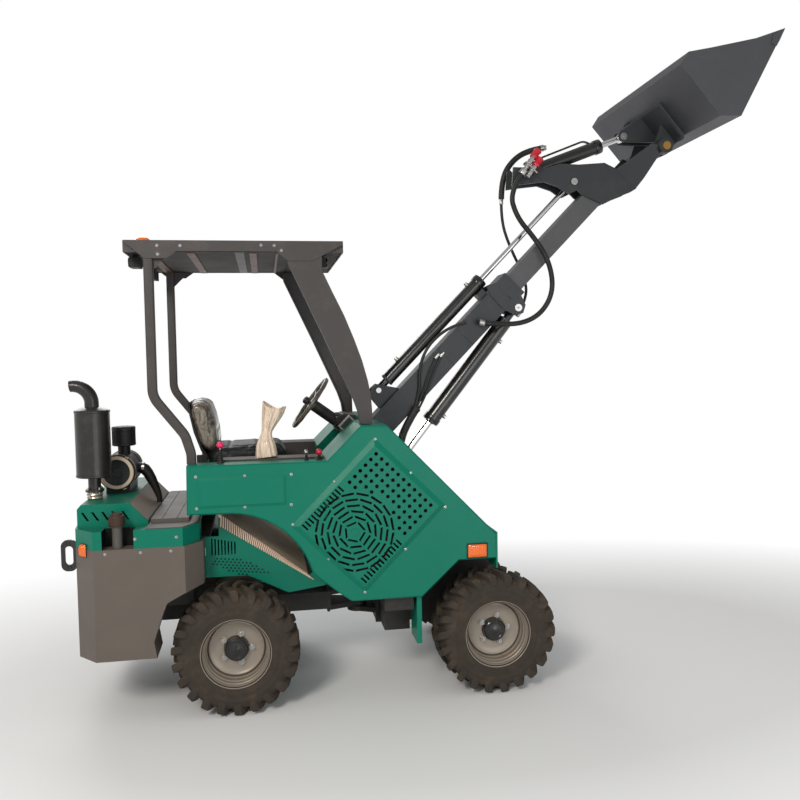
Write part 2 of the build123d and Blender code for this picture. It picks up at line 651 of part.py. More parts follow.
outer -= on_boom([(-45, -inner_boom_height / 2 - 1), (boom_end + 1, -inner_boom_height / 2 - 1),
                  (boom_end + 1, inner_boom_height / 2 + 1), (-45, inner_boom_height / 2 + 1)],
                 -inner_boom_width / 2 - 1, inner_boom_width / 2 + 1)
extend_base = boom_point(extend_base_along, extend_height)
for y_low in (-extend_fork - 12, extend_fork):
    ear = on_boom([(180, half_high - 2), (190, 150), (228, 172), (262, 168), (330, half_high - 2)], y_low, y_low + 12)
    ear -= shaft(*extend_base, cylinder_pin_diameter + 2 * fit_gap, y_low, y_low + 12)
    outer += ear
saddle_top = extend_height - extend_barrel_diameter / 2 - fit_gap
outer += on_boom([(980, half_high - 2), (980, saddle_top), (1025, saddle_top), (1025, half_high - 2)], -38, 38)
lift_pin = boom_point(lift_pin_along, -lift_pin_below)
for y_low in (-44, 32):
    ear = on_boom([(lift_pin_along - 57, 2 - half_high), (lift_pin_along - 32, -lift_pin_below - 24),
                   (lift_pin_along, -lift_pin_below - 42), (lift_pin_along + 38, -lift_pin_below - 20),
                   (lift_pin_along + 68, 2 - half_high)], y_low, y_low + 12)
    ear -= shaft(*lift_pin, lift_pin_diameter + 2 * fit_gap, y_low, y_low + 12)
    outer += ear
# plates on both sides of the boom's end, and two straps for the hoses
end_plate = [(boom_end - 126, 96), (boom_end - 27, 60), (boom_end - 26, -77), (boom_end - 44, -125),
             (lift_pin_along, -lift_pin_below - 40), (lift_pin_along - 40, -lift_pin_below - 20),
             (boom_end - 148, -42), (boom_end - 141, 56)]
for y_low in (-half_wide - 8, half_wide - 2):
    side_plate = on_boom(end_plate, y_low, y_low + 10)
    side_plate -= shaft(*lift_pin, lift_pin_diameter + 2 * fit_gap, y_low, y_low + 10)
    side_plate -= shaft(*boom_point(boom_end - 76, -33), 24, y_low, y_low + 4 if y_low < 0 else y_low + 10)
    outer += side_plate
for along in (621, 768):
    for y_low in (-half_wide - 5, half_wide - 2):
        outer += on_boom([(along, -half_high + 6), (along + 16, -half_high + 6), (along + 16, half_high - 6),
                          (along, half_high - 6)], y_low, y_low + 7)
nodes["outer_boom"] = [outer]
nodes["boom_pins"] = [shaft(*extend_base, cylinder_pin_diameter, -extend_fork - 20, extend_fork + 20),
                      shaft(*lift_pin, lift_pin_diameter, -half_wide - 14, half_wide + 14)]


# ---- cylinders: a barrel with an eye at its pin, and a rod that leaves it at the gland ----
def barrel(foot, head, diameter, length, rod_diameter, pin_diameter, eye_width):
    run = Vector(head[0] - foot[0], 0, head[1] - foot[1]).normalized()

    def at(distance):
        return (foot[0] + run.X * distance, 0, foot[1] + run.Z * distance)
    tube = rod(at(pin_diameter * 2.5), at(length), diameter)
    tube -= rod(at(pin_diameter * 2.5 + 15), at(length), diameter - 14)
    tube += rod(at(length - 32), at(length), diameter + 6) - rod(at(length - 40), at(length + 1), rod_diameter + 1)
    eye = shaft(*foot, pin_diameter + 30, -eye_width / 2, eye_width / 2)
    eye += rod(at(pin_diameter / 2 + 4), at(pin_diameter * 2.5 + 1), pin_diameter + 12)
    eye -= shaft(*foot, pin_diameter + 2 * fit_gap, -eye_width, eye_width)
    return tube + eye


def piston_rod(foot, head, start, length, diameter, pin_diameter, eye_width):
    run = Vector(head[0] - foot[0], 0, head[1] - foot[1]).normalized()
    tip = (foot[0] + run.X * length, foot[1] + run.Z * length)
    bar = rod((foot[0] + run.X * start, 0, foot[1] + run.Z * start), (tip[0], 0, tip[1]), diameter)
    bar += shaft(*tip, pin_diameter + 24, -eye_width / 2, eye_width / 2)
    return bar - shaft(*tip, pin_diameter + 2 * fit_gap, -eye_width, eye_width)


lift_foot = (lift_foot_x, lift_foot_z)
lift_length = hypot(lift_foot[0] - lift_pin[0], lift_foot[1] - lift_pin[1])
nodes["lift_barrel"] = [barrel(lift_pin, lift_foot, lift_barrel_diameter, lift_barrel_length, lift_rod_diameter,
                               lift_pin_diameter, 54)]
nodes["lift_rod"] = [piston_rod(lift_pin, lift_foot, 470, lift_length, lift_rod_diameter, lift_pin_diameter, 40)]
extend_eye = boom_point(extend_eye_along, extend_height)
extend_length = extend_eye_along - extend_base_along
nodes["extend_barrel"] = [barrel(extend_base, extend_eye, extend_barrel_diameter, extend_barrel_length,
                                 extend_rod_diameter, cylinder_pin_diameter, 40)]
nodes["extend_rod"] = [piston_rod(extend_base, extend_eye, 645, extend_length, extend_rod_diameter,
                                  cylinder_pin_diameter, 36)]

# ---- inner boom and its head ----
inner_high_half = inner_boom_height / 2
inner_wide_half = inner_boom_width / 2
inner = on_boom([(inner_boom_start, -inner_high_half), (inner_boom_end, -inner_high_half),
                 (inner_boom_end, inner_high_half), (inner_boom_start, inner_high_half)],
                -inner_wide_half, inner_wide_half)
inner -= on_boom([(inner_boom_start, -inner_high_half + 7), (inner_boom_end - 10, -inner_high_half + 7),
                  (inner_boom_end - 10, inner_high_half - 7), (inner_boom_start, inner_high_half - 7)],
                 -inner_wide_half + 7, inner_wide_half - 7)
nodes["inner_boom"] = [inner]
head_plate = 12
head_side = inner_wide_half + head_plate
hose_far_y = 90
sleeve_diameter = 32
head_outline = [(1821, -63), (1897, -90), (1979, -128), (2020, -139), (2015, 11), (1987, 87), (1876, 182),
                (1801, 261), (1729, 300), (1602, 430), (1526, 366), (1576, 329), (1668, 256), (1706, 182),
                (1712, 150), (1725, 111), (1772, 94), (1773, 57)]
tilt_base = boom_point(tilt_base_along, tilt_base_above)
tilt_pin = boom_point(tilt_pin_along, -tilt_pin_below)
head = []
for y_low in (-inner_wide_half - head_plate, inner_wide_half):
    side_plate = on_boom(head_outline, y_low, y_low + head_plate)
    side_plate -= shaft(*tilt_base, cylinder_pin_diameter + 2 * fit_gap, y_low, y_low + head_plate)
    side_plate -= shaft(*extend_eye, cylinder_pin_diameter + 2 * fit_gap, y_low, y_low + head_plate)
    head.append(side_plate)
web = on_boom([(2008, -132), (2018, -132), (2013, 5), (2003, 5)], -inner_wide_half, inner_wide_half)
head.append(web)
hose_clamp = [(1600, 395), (1625, 390), (1625, 430), (1600, 430)]
head.append(on_boom(hose_clamp, head_side - 2, hose_far_y - sleeve_diameter / 2 - fit_gap))
# the side plates flare out to the tilt pin's bosses
flare_reach = 200
flare_angle = 35
bend_low = boom_point(2021, -137)
bend_high = boom_point(2015, 14)
for side in (-1, 1):
    along = Vector(bend_high[0] - bend_low[0], 0, bend_high[1] - bend_low[1]).normalized()
    forward = Vector(-along.Z, 0, along.X) * -1
    out = Vector(0, side, 0)
    slope = (forward * cos(radians(flare_angle)) + out * sin(radians(flare_angle)))
    normal = along.cross(slope)
    plane = Plane(origin=(bend_low[0], side * (inner_wide_half + head_plate / 2), bend_low[1]),
                  x_dir=slope, z_dir=normal)
    # in this plane x runs out along the flare and y up the bend
    sign = 1 if plane.y_dir.dot(along) > 0 else -1
    flare = plane * Polygon((0, 0), (70, sign * 12), (215, sign * 50), (235, sign * 90), (215, sign * 120),
                            (60, sign * 140), (0, sign * 151), align=None)
    head.append(extrude(flare, amount=head_plate / 2, both=True))
boss_low = 165
boss_high = 215
for y_low in (-boss_high, boss_low):
    head.append(shaft(*tilt_pin, 76, y_low, y_low + boss_high - boss_low))
boom_head = head[0]
for piece in head[1:]:
    boom_head += piece
for y_low in (-boss_high - 1, boss_low - 1):
    boom_head -= shaft(*tilt_pin, tilt_pin_diameter + 2 * fit_gap, y_low, y_low + boss_high - boss_low + 2)
nodes["boom_head"] = [boom_head]
nodes["head_pins"] = [shaft(*tilt_base, cylinder_pin_diameter, -70, 70),
                      shaft(*extend_eye, cylinder_pin_diameter, -70, 70)] \
    + both(shaft(*tilt_pin, tilt_pin_diameter, 135, boss_high + 8))

# ---- tilt cylinder ----
tilt_link = (tilt_pin[0] - tilt_link_back, tilt_pin[1] + tilt_link_up)
tilt_length = hypot(tilt_link[0] - tilt_base[0], tilt_link[1] - tilt_base[1])
tilt_run = Vector(tilt_link[0] - tilt_base[0], 0, tilt_link[1] - tilt_base[1]).normalized()
tilt_rise = Vector(-tilt_run.Z, 0, tilt_run.X)
pipe_route = [(108, 28), (128, 52), (400, 56), (432, 30)]
pipe = tube([Vector(tilt_base[0], 0, tilt_base[1]) + tilt_run * along + tilt_rise * rise
             for along, rise in pipe_route], 12)
nodes["tilt_barrel"] = [barrel(tilt_base, tilt_link, tilt_barrel_diameter, tilt_barrel_length, tilt_rod_diameter,
                               cylinder_pin_diameter, 50) + pipe]
nodes["tilt_rod"] = [piston_rod(tilt_base, tilt_link, 150, tilt_length, tilt_rod_diameter, cylinder_pin_diameter, 40)]


# ---- coupler and bucket ----
def from_pin(outline):
    return [(tilt_pin[0] + x, tilt_pin[1] + z) for x, z in outline]


top = bucket_corners["top"]
heel = bucket_corners["heel"]
back_run = hypot(heel[0] - top[0], heel[1] - top[1])
back_dir = ((heel[0] - top[0]) / back_run, (heel[1] - top[1]) / back_run)
back_normal = (back_dir[1], -back_dir[0])


def on_back(down, behind):
    # a point down the bucket's back plate from its top edge, and behind it
    return (top[0] + back_dir[0] * down + back_normal[0] * behind,
            top[1] + back_dir[1] * down + back_normal[1] * behind)


coupler_face = [on_back(105, 34), on_back(105, 46), on_back(325, 46), on_back(325, 34)]
coupler = across(from_pin(coupler_face), -235, 235)
pivot_cheek = [on_back(200, 46), on_back(325, 46), (35, -28), (0, -44), (-38, -22), (-44, 5), (-30, 34)]
link_cheek = [on_back(105, 46), on_back(280, 46), (-130, 60), (-156, 60), (-190, 90), (-180, 118), (-150, 130)]
for y_low in (140, -158):
    cheek_plate = across(from_pin(pivot_cheek), y_low, y_low + 18)
    cheek_plate -= shaft(*tilt_pin, tilt_pin_diameter + 2 * fit_gap, y_low, y_low + 18)
    coupler += cheek_plate
for y_low in (27, -39):
    cheek_plate = across(from_pin(link_cheek), y_low, y_low + 12)
    coupler += cheek_plate
nodes["coupler"] = [coupler]

half_bucket = bucket_width / 2
shell_outline = [bucket_corners[name] for name in ("top", "heel", "floor", "lip")]
lip_point = bucket_corners["lip"]
floor_point = bucket_corners["floor"]
bucket = across(from_pin(shell_outline), -half_bucket, half_bucket)
mouth = ((lip_point[0] - top[0]), (lip_point[1] - top[1]))
mouth_run = hypot(*mouth)
bucket -= across(inset(from_pin(shell_outline), bucket_sheet), -half_bucket + 10, half_bucket - 10)
mouth_normal = (-mouth[1] / mouth_run, mouth[0] / mouth_run)
mouth_cut = [(top[0] + mouth[0] * 0.03 - mouth_normal[0] * 12, top[1] + mouth[1] * 0.03 - mouth_normal[1] * 12),
             (lip_point[0] - mouth[0] * 0.02 - mouth_normal[0] * 12, lip_point[1] - mouth[1] * 0.02 - mouth_normal[1] * 12),
             (lip_point[0] - mouth[0] * 0.02 + mouth_normal[0] * 50, lip_point[1] - mouth[1] * 0.02 + mouth_normal[1] * 50),
             (top[0] + mouth[0] * 0.03 + mouth_normal[0] * 50, top[1] + mouth[1] * 0.03 + mouth_normal[1] * 50)]
bucket -= across(from_pin(mouth_cut), -half_bucket + 10, half_bucket - 10)
for y_low in (180, -195):
    hook = across(from_pin([on_back(95, 0), on_back(95, 33.7), on_back(330, 33.7), on_back(322, 0)]), y_low, y_low + 15)
    bucket += hook
nodes["bucket"] = [bucket]

# ---- hoses along the boom, the free loops at its head and their couplings ----
hose_side = half_wide + fit_gap
boom_hose_runs = [(40, [(50, -182), (130, -122), (225, -86), (316, -68)]),
                  (16, [(310, -62), (392, -20), (462, 55), (560, 105), (665, 112), (765, 86), (826, 50)]),
                  (12, [(310, -73), (400, -38), (490, 10), (585, 39)]),
                  (12, [(310, -84), (395, -62), (505, -8), (610, 25)])]
boom_hoses = [tube(on_boom_at(route, -hose_side - diameter / 2), diameter) for diameter, route in boom_hose_runs]
nodes["boom_hoses"] = [fused(boom_hoses)]

loop_y = -98
coupling_plate = [(1650, 320), (1658, 320), (1658, 405), (1650, 405)]
coupling_diameter = 26
cap_diameter = 40
coupling_tilt = 7.9
fitting = on_boom(coupling_plate, loop_y - 17, -head_side - fit_gap)
couplings = [(1620.3, 379.4, 80), (1612, 338, 46)]
for along, above, length in couplings:
    start = (along, above)
    middle = (along + length * cos(radians(coupling_tilt)), above + length * sin(radians(coupling_tilt)))
    end = (middle[0] + 35 * cos(radians(coupling_tilt)), middle[1] + 35 * sin(radians(coupling_tilt)))
    stations = [Vector(point) for point in on_boom_at([start, middle, end], loop_y)]
    fitting += rod(stations[0], stations[1], coupling_diameter)
    fitting += rod(stations[1], stations[2], cap_diameter)
nodes["quick_couplings"] = [fitting]
loop_route = [(866, 8), (965, -128), (1110, -216), (1265, -190), (1368, -66), (1404, 90), (1412, 235), (1480, 360),
              (1620, 379.4)]
nodes["loop_hose"] = [tube(on_boom_at(loop_route, loop_y), 27)]
thin_route = [(1486.6, 347.7), (1405, 272), (1335, 140), (1268, -60), (1190, -138), (1085, -165)]
nodes["thin_hose"] = [tube(on_boom_at(thin_route, hose_far_y), 16)]
sleeve_route = [(1487, 348), (1570, 425), (1690, 450), (1795, 420), (1860, 372)]
nodes["sleeve_hose"] = [tube(on_boom_at(sleeve_route, hose_far_y), sleeve_diameter)]

# ---- shared frame ----
outermost = Compound(children=[shape for name in ("tow_bracket", "bucket", "side_panels") for shape in nodes[name]])
box = outermost.bounding_box()
shift = Pos(-(box.min.X + box.max.X) / 2, 0, 0)
print("box", box.min, box.max)
print("origin in machine coordinates", (box.min.X + box.max.X) / 2)
for name, shapes in nodes.items():
    export_step(Compound(children=[shift * shape for shape in shapes]), f"parts/{name}.step")
print(len(nodes), "nodes")
for label, point in (("boom_pivot", (boom_pivot_x, boom_pivot_z)), ("lift_pin", lift_pin),
                     ("lift_foot", lift_foot), ("extend_base", extend_base), ("extend_eye", extend_eye),
                     ("tilt_base", tilt_base), ("tilt_link", tilt_link), ("tilt_pin", tilt_pin)):
    print(label, round(point[0] - (box.min.X + box.max.X) / 2, 3), round(point[1], 3))
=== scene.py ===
import bmesh
import bpy
import math
from mathutils import Matrix, Vector


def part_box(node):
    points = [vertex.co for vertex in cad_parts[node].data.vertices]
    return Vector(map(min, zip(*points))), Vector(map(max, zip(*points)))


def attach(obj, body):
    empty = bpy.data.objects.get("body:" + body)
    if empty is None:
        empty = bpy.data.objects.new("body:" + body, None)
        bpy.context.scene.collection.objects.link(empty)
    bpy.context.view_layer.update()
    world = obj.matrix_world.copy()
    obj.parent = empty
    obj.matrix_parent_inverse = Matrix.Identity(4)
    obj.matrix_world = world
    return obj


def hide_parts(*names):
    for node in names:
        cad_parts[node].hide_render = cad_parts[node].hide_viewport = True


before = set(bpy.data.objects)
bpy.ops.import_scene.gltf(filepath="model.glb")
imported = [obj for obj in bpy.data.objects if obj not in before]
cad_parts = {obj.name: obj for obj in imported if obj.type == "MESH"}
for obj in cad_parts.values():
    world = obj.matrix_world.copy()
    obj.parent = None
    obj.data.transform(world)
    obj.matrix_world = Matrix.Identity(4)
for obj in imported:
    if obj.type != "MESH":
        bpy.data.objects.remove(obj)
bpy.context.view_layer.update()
print("frame loaded,", len(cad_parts), "nodes")

origin = dict(x=0.9869324)  # the rear axle is this far behind the shared origin
boomLine = dict(x=680, z=1198, angle=math.radians(45.5))  # the lift pivot, and the boom's slope at rest


def place(x, y, z):  # machine millimetres, x from the rear axle, to metres in the shared frame
    return Vector((x / 1000 - origin["x"], y / 1000, z / 1000))


def onBoom(along, above, y):  # millimetres along and above the boom's middle line
    c, s = math.cos(boomLine["angle"]), math.sin(boomLine["angle"])
    return place(boomLine["x"] + along * c - above * s, y, boomLine["z"] + along * s + above * c)


def srgb(red, green, blue):
    def linear(value):
        value /= 255
        return value / 12.92 if value <= 0.04045 else ((value + 0.055) / 1.055) ** 2.4
    return (linear(red), linear(green), linear(blue), 1.0)


cameraSetting = dict(at=(0.15975 - origin["x"], -4.25228, 1.64567), yaw=9.526, pitch=3.087, roll=-0.997,
                     focal=806.58 / 800)
yaw, pitch, roll = (math.radians(cameraSetting[key]) for key in ("yaw", "pitch", "roll"))
forward = Vector((math.sin(yaw) * math.cos(pitch), math.cos(yaw) * math.cos(pitch), -math.sin(pitch)))
right = Vector((math.cos(yaw), -math.sin(yaw), 0))
up = right.cross(forward)
turnedRight = right * math.cos(roll) + up * math.sin(roll)
turnedUp = up * math.cos(roll) - right * math.sin(roll)
cameraData = bpy.data.cameras.new("camera")
cameraData.sensor_width = 36
cameraData.lens = 36 * cameraSetting["focal"]
cameraData.clip_end = 200
camera = bpy.data.objects.new("camera", cameraData)
rotation = Matrix((turnedRight, turnedUp, -forward)).transposed()
camera.matrix_world = Matrix.Translation(cameraSetting["at"]) @ rotation.to_4x4()
bpy.context.collection.objects.link(camera)
bpy.context.scene.camera = camera
bpy.context.scene.view_settings.view_transform = "Standard"
print("camera set")


def roundLine(name, points, diameter, body):  # one smooth round line through the pull of its points
    curve = bpy.data.curves.new(name, "CURVE")
    curve.dimensions = "3D"
    curve.bevel_depth = 1.0  # each point's own radius sets the size, so that the curve's box is exact too
    curve.bevel_resolution = 5
    curve.resolution_u = 10
    curve.use_fill_caps = True
    spline = curve.splines.new("NURBS")
    spline.points.add(len(points) - 1)
    for point, at in zip(spline.points, points):
        point.co, point.radius = (*at, 1.0), diameter / 2000
    spline.order_u = 3
    spline.use_endpoint_u = True
    line = bpy.data.objects.new(name, curve)
    bpy.context.collection.objects.link(line)
    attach(line, body)
    return line


freeHoses = {
    "loop_hose": dict(y=-98, diameter=27, length=1.19, stiffness="stiff", lay="hanging",
                      route=[(1620, 379.4), (1480, 360), (1412, 235), (1404, 90), (1368, -66), (1265, -190),
                             (1110, -216), (965, -128), (866, 8)]),
    "thin_hose": dict(y=90, diameter=16, length=0.66, stiffness="medium", lay="hanging",
                      route=[(1486.6, 347.7), (1405, 272), (1335, 140), (1268, -60), (1190, -138),
                             (1085, -165)]),
    "sleeve_hose": dict(y=90, diameter=32, length=0.41, stiffness="stiff", lay="loose",
                        route=[(1860, 372), (1795, 420), (1690, 450), (1570, 425), (1487, 348)]),
}
hoses = {}
for name, hose in freeHoses.items():
    points = [onBoom(along, above, hose["y"]) for along, above in hose["route"]]
    line = roundLine(name + "Round", points, hose["diameter"], "inner_boom")
    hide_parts(name)
    hoses[name] = line
print("free hoses made")


def newGroup(name, inputs, outputs):
    group = bpy.data.node_groups.new(name, "ShaderNodeTree")
    for label, kind, value in inputs:
        socket = group.interface.new_socket(name=label, in_out="INPUT", socket_type="NodeSocket" + kind)
        socket.default_value = value
    for label, kind in outputs:
        group.interface.new_socket(name=label, in_out="OUTPUT", socket_type="NodeSocket" + kind)
    return group, group.nodes.new("NodeGroupInput"), group.nodes.new("NodeGroupOutput")


def join(tree, source, target):
    tree.links.new(source, target)


def mathNode(tree, operation, first, second=None, clamp=False):
    node = tree.nodes.new("ShaderNodeMath")
    node.operation = operation
    node.use_clamp = clamp
    for index, value in enumerate((first, second)):
        if value is None:
            continue
        if isinstance(value, (int, float)):
            node.inputs[index].default_value = value
        else:
            join(tree, value, node.inputs[index])
    return node.outputs[0]


def mixColour(tree, factor, first, second):
    node = tree.nodes.new("ShaderNodeMix")
    node.data_type = "RGBA"
    for socket, value in ((node.inputs[0], factor), (node.inputs[6], first), (node.inputs[7], second)):
        if isinstance(value, (int, float, tuple)):
            socket.default_value = value
        else:
            join(tree, value, socket)
    return node.outputs[2]


def noise(tree, vector, scale, detail=4.0, roughness=0.6):
    node = tree.nodes.new("ShaderNodeTexNoise")
    node.inputs["Detail"].default_value = detail
    node.inputs["Roughness"].default_value = roughness
    if isinstance(scale, (int, float)):
        node.inputs["Scale"].default_value = scale
    else:
        join(tree, scale, node.inputs["Scale"])
    join(tree, vector, node.inputs["Vector"])
    return node.outputs["Fac"]


def ramp(tree, value, low, high):
    node = tree.nodes.new("ShaderNodeMapRange")
    node.inputs["From Min"].default_value = low
    node.inputs["From Max"].default_value = high
    join(tree, value, node.inputs["Value"])
    return node.outputs["Result"]


def objectCoordinates(tree):
    return tree.nodes.new("ShaderNodeTexCoord").outputs["Object"]


def buildEdgeWear():
    tree, given, out = newGroup("edgeWear", [("Radius", "Float", 0.003), ("Amount", "Float", 0.5)],
                                [("Mask", "Float")])
    bevel = tree.nodes.new("ShaderNodeBevel")
    bevel.samples = 4
    join(tree, given.outputs["Radius"], bevel.inputs["Radius"])
    normal = tree.nodes.new("ShaderNodeNewGeometry")
    dot = tree.nodes.new("ShaderNodeVectorMath")
    dot.operation = "DOT_PRODUCT"
    join(tree, bevel.outputs["Normal"], dot.inputs[0])
    join(tree, normal.outputs["Normal"], dot.inputs[1])
    edge = ramp(tree, mathNode(tree, "SUBTRACT", 1.0, dot.outputs["Value"]), 0.02, 0.2)
    chips = ramp(tree, noise(tree, objectCoordinates(tree), 60, 6), 0.45, 0.62)
    worn = mathNode(tree, "MULTIPLY", edge, chips)
    join(tree, mathNode(tree, "MULTIPLY", worn, given.outputs["Amount"], clamp=True), out.inputs["Mask"])
    return tree


def buildDust():
    # settles on upward faces and in patches; near the ground it is splashed on all sides
    tree, given, out = newGroup("settledDust", [("Top", "Float", 0.4), ("Patches", "Float", 0.2),
                                                ("Splash Height", "Float", 0.3)], [("Mask", "Float")])
    geometry = tree.nodes.new("ShaderNodeNewGeometry")
    split = tree.nodes.new("ShaderNodeSeparateXYZ")
    join(tree, geometry.outputs["Normal"], split.inputs[0])
    coordinates = objectCoordinates(tree)
    heights = tree.nodes.new("ShaderNodeSeparateXYZ")
    join(tree, coordinates, heights.inputs[0])
    cloud = noise(tree, coordinates, 9, 8, 0.7)
    fine = noise(tree, coordinates, 110, 4, 0.7)
    top = mathNode(tree, "MULTIPLY", ramp(tree, split.outputs["Z"], 0.5, 1.0), given.outputs["Top"])
    top = mathNode(tree, "MULTIPLY", top, ramp(tree, cloud, 0.25, 0.6))
    patches = mathNode(tree, "MULTIPLY", ramp(tree, cloud, 0.5, 0.72), given.outputs["Patches"])
    low = mathNode(tree, "SUBTRACT", given.outputs["Splash Height"], heights.outputs["Z"])
    low = mathNode(tree, "MULTIPLY", ramp(tree, low, 0.0, 0.3), ramp(tree, cloud, 0.35, 0.6))
    total = mathNode(tree, "ADD", mathNode(tree, "ADD", top, patches), mathNode(tree, "MULTIPLY", low, 0.6))
    speckled = mathNode(tree, "MULTIPLY", total, ramp(tree, fine, 0.25, 0.6))
    join(tree, mathNode(tree, "ADD", speckled, 0.0, clamp=True), out.inputs["Mask"])
    return tree


def buildMottle():
    # slow and fine unevenness in tone, and a height for orange peel, casting grain or moulded grain
    tree, given, out = newGroup("mottle", [("Scale", "Float", 6.0), ("Depth", "Float", 0.15),
                                           ("Grain Scale", "Float", 400.0)],
                                [("Factor", "Float"), ("Height", "Float"), ("Roughness Shift", "Float")])
    coordinates = objectCoordinates(tree)
    slow = noise(tree, coordinates, given.outputs["Scale"], 5)
    join(tree, mathNode(tree, "MULTIPLY", ramp(tree, slow, 0.3, 0.7), given.outputs["Depth"]),
         out.inputs["Factor"])
    join(tree, noise(tree, coordinates, given.outputs["Grain Scale"], 3), out.inputs["Height"])
    join(tree, mathNode(tree, "MULTIPLY", mathNode(tree, "SUBTRACT", slow, 0.5), 0.25),
         out.inputs["Roughness Shift"])
    return tree


edgeWearGroup, dustGroup, mottleGroup = buildEdgeWear(), buildDust(), buildMottle()


def useGroup(tree, group, values):
    node = tree.nodes.new("ShaderNodeGroup")
    node.node_tree = group
    for label, value in values.items():
        node.inputs[label].default_value = value
    return node.outputs


def buildCrinkle():
    # clear film pulled over a seat: painted highlights along long creases and in broad patches on a dark
    # ground, and the creases' height
    tree, given, out = newGroup("crinkledFilm", [("Scale", "Float", 12.0), ("Cover", "Float", 0.5)],
                                [("Painted Shine", "Float"), ("Height", "Float")])
    stretch = tree.nodes.new("ShaderNodeMapping")
    stretch.inputs["Scale"].default_value = (1.6, 1.0, 0.45)
    stretch.inputs["Rotation"].default_value = (0.2, 0.5, 0.1)
    join(tree, objectCoordinates(tree), stretch.inputs["Vector"])
    creases = tree.nodes.new("ShaderNodeTexNoise")
    creases.inputs["Detail"].default_value = 6
    creases.inputs["Roughness"].default_value = 0.55
    creases.inputs["Distortion"].default_value = 1.4
    join(tree, given.outputs["Scale"], creases.inputs["Scale"])
    join(tree, stretch.outputs["Vector"], creases.inputs["Vector"])
    fold = mathNode(tree, "ABSOLUTE", mathNode(tree, "SUBTRACT", creases.outputs["Fac"], 0.5))
    ridge = ramp(tree, fold, 0.16, 0.0)
    slow = ramp(tree, noise(tree, stretch.outputs["Vector"], 5, 3), 0.35, 0.65)
    paintedShine = mathNode(tree, "ADD", mathNode(tree, "MULTIPLY", ridge, 0.55),
                     mathNode(tree, "MULTIPLY", slow, given.outputs["Cover"]))
    join(tree, mathNode(tree, "ADD", paintedShine, 0.0, clamp=True), out.inputs["Painted Shine"])
    join(tree, ridge, out.inputs["Height"])
    return tree


crinkleGroup = buildCrinkle()


def plainMaterial(name):
    material = bpy.data.materials.new(name)
    material.use_nodes = True
    tree = material.node_tree
    return material, tree, tree.nodes["Principled BSDF"]


def addBump(tree, shader, height, strength, distance=0.002):
    bump = tree.nodes.new("ShaderNodeBump")
    bump.inputs["Strength"].default_value = strength
    bump.inputs["Distance"].default_value = distance
    join(tree, height, bump.inputs["Height"])
    join(tree, bump.outputs["Normal"], shader.inputs["Normal"])


def worked(name, colour, rough=0.45, metal=0.0, coat=0.0, tone=0.15, toneScale=6.0, grain=0.05,
           grainScale=400.0, wear=0.0, wearColour=(120, 118, 112), wearRadius=0.003, dust=0.15, patches=0.08,
           splash=-1.0, dustColour=(176, 160, 138), shade=0.72, gloss=0.35):
    material, tree, shader = plainMaterial(name)
    mottle = useGroup(tree, mottleGroup, {"Scale": toneScale, "Depth": tone, "Grain Scale": grainScale})
    shaded = tuple(channel * shade for channel in srgb(*colour)[:3]) + (1.0,)
    base = mixColour(tree, mottle["Factor"], srgb(*colour), shaded)
    roughness = mathNode(tree, "ADD", mottle["Roughness Shift"], rough)
    if wear:
        edge = useGroup(tree, edgeWearGroup, {"Radius": wearRadius, "Amount": wear})["Mask"]
        base = mixColour(tree, edge, base, srgb(*wearColour))
    if dust or patches:
        settled = useGroup(tree, dustGroup,
                           {"Top": dust, "Patches": patches, "Splash Height": splash})["Mask"]
        base = mixColour(tree, settled, base, srgb(*dustColour))
        roughness = mathNode(tree, "ADD", roughness, mathNode(tree, "MULTIPLY", settled, 0.4), clamp=True)
    join(tree, base, shader.inputs["Base Color"])
    join(tree, roughness, shader.inputs["Roughness"])
    shader.inputs["Metallic"].default_value = metal
    shader.inputs["Coat Weight"].default_value = coat
    shader.inputs["Coat Roughness"].default_value = 0.12
    shader.inputs["Specular IOR Level"].default_value = gloss
    addBump(tree, shader, mottle["Height"], grain)
    return material


# the glints on the film's creases are painted into the base colour as highlights
def filmed(name, ground, paintedShine, scale, cover, rough, strength, coat):  # a surface under creased clear film
    material, tree, shader = plainMaterial(name)
    crinkle = useGroup(tree, crinkleGroup, {"Scale": scale, "Cover": cover})
    join(tree, mixColour(tree, crinkle["Painted Shine"], srgb(*ground), srgb(*paintedShine)), shader.inputs["Base Color"])
    shader.inputs["Roughness"].default_value = rough
    shader.inputs["Coat Weight"].default_value = coat
    shader.inputs["Coat Roughness"].default_value = 0.15
    shader.inputs["Specular IOR Level"].default_value = 0.35
    addBump(tree, shader, crinkle["Height"], strength, 0.004)
    return material


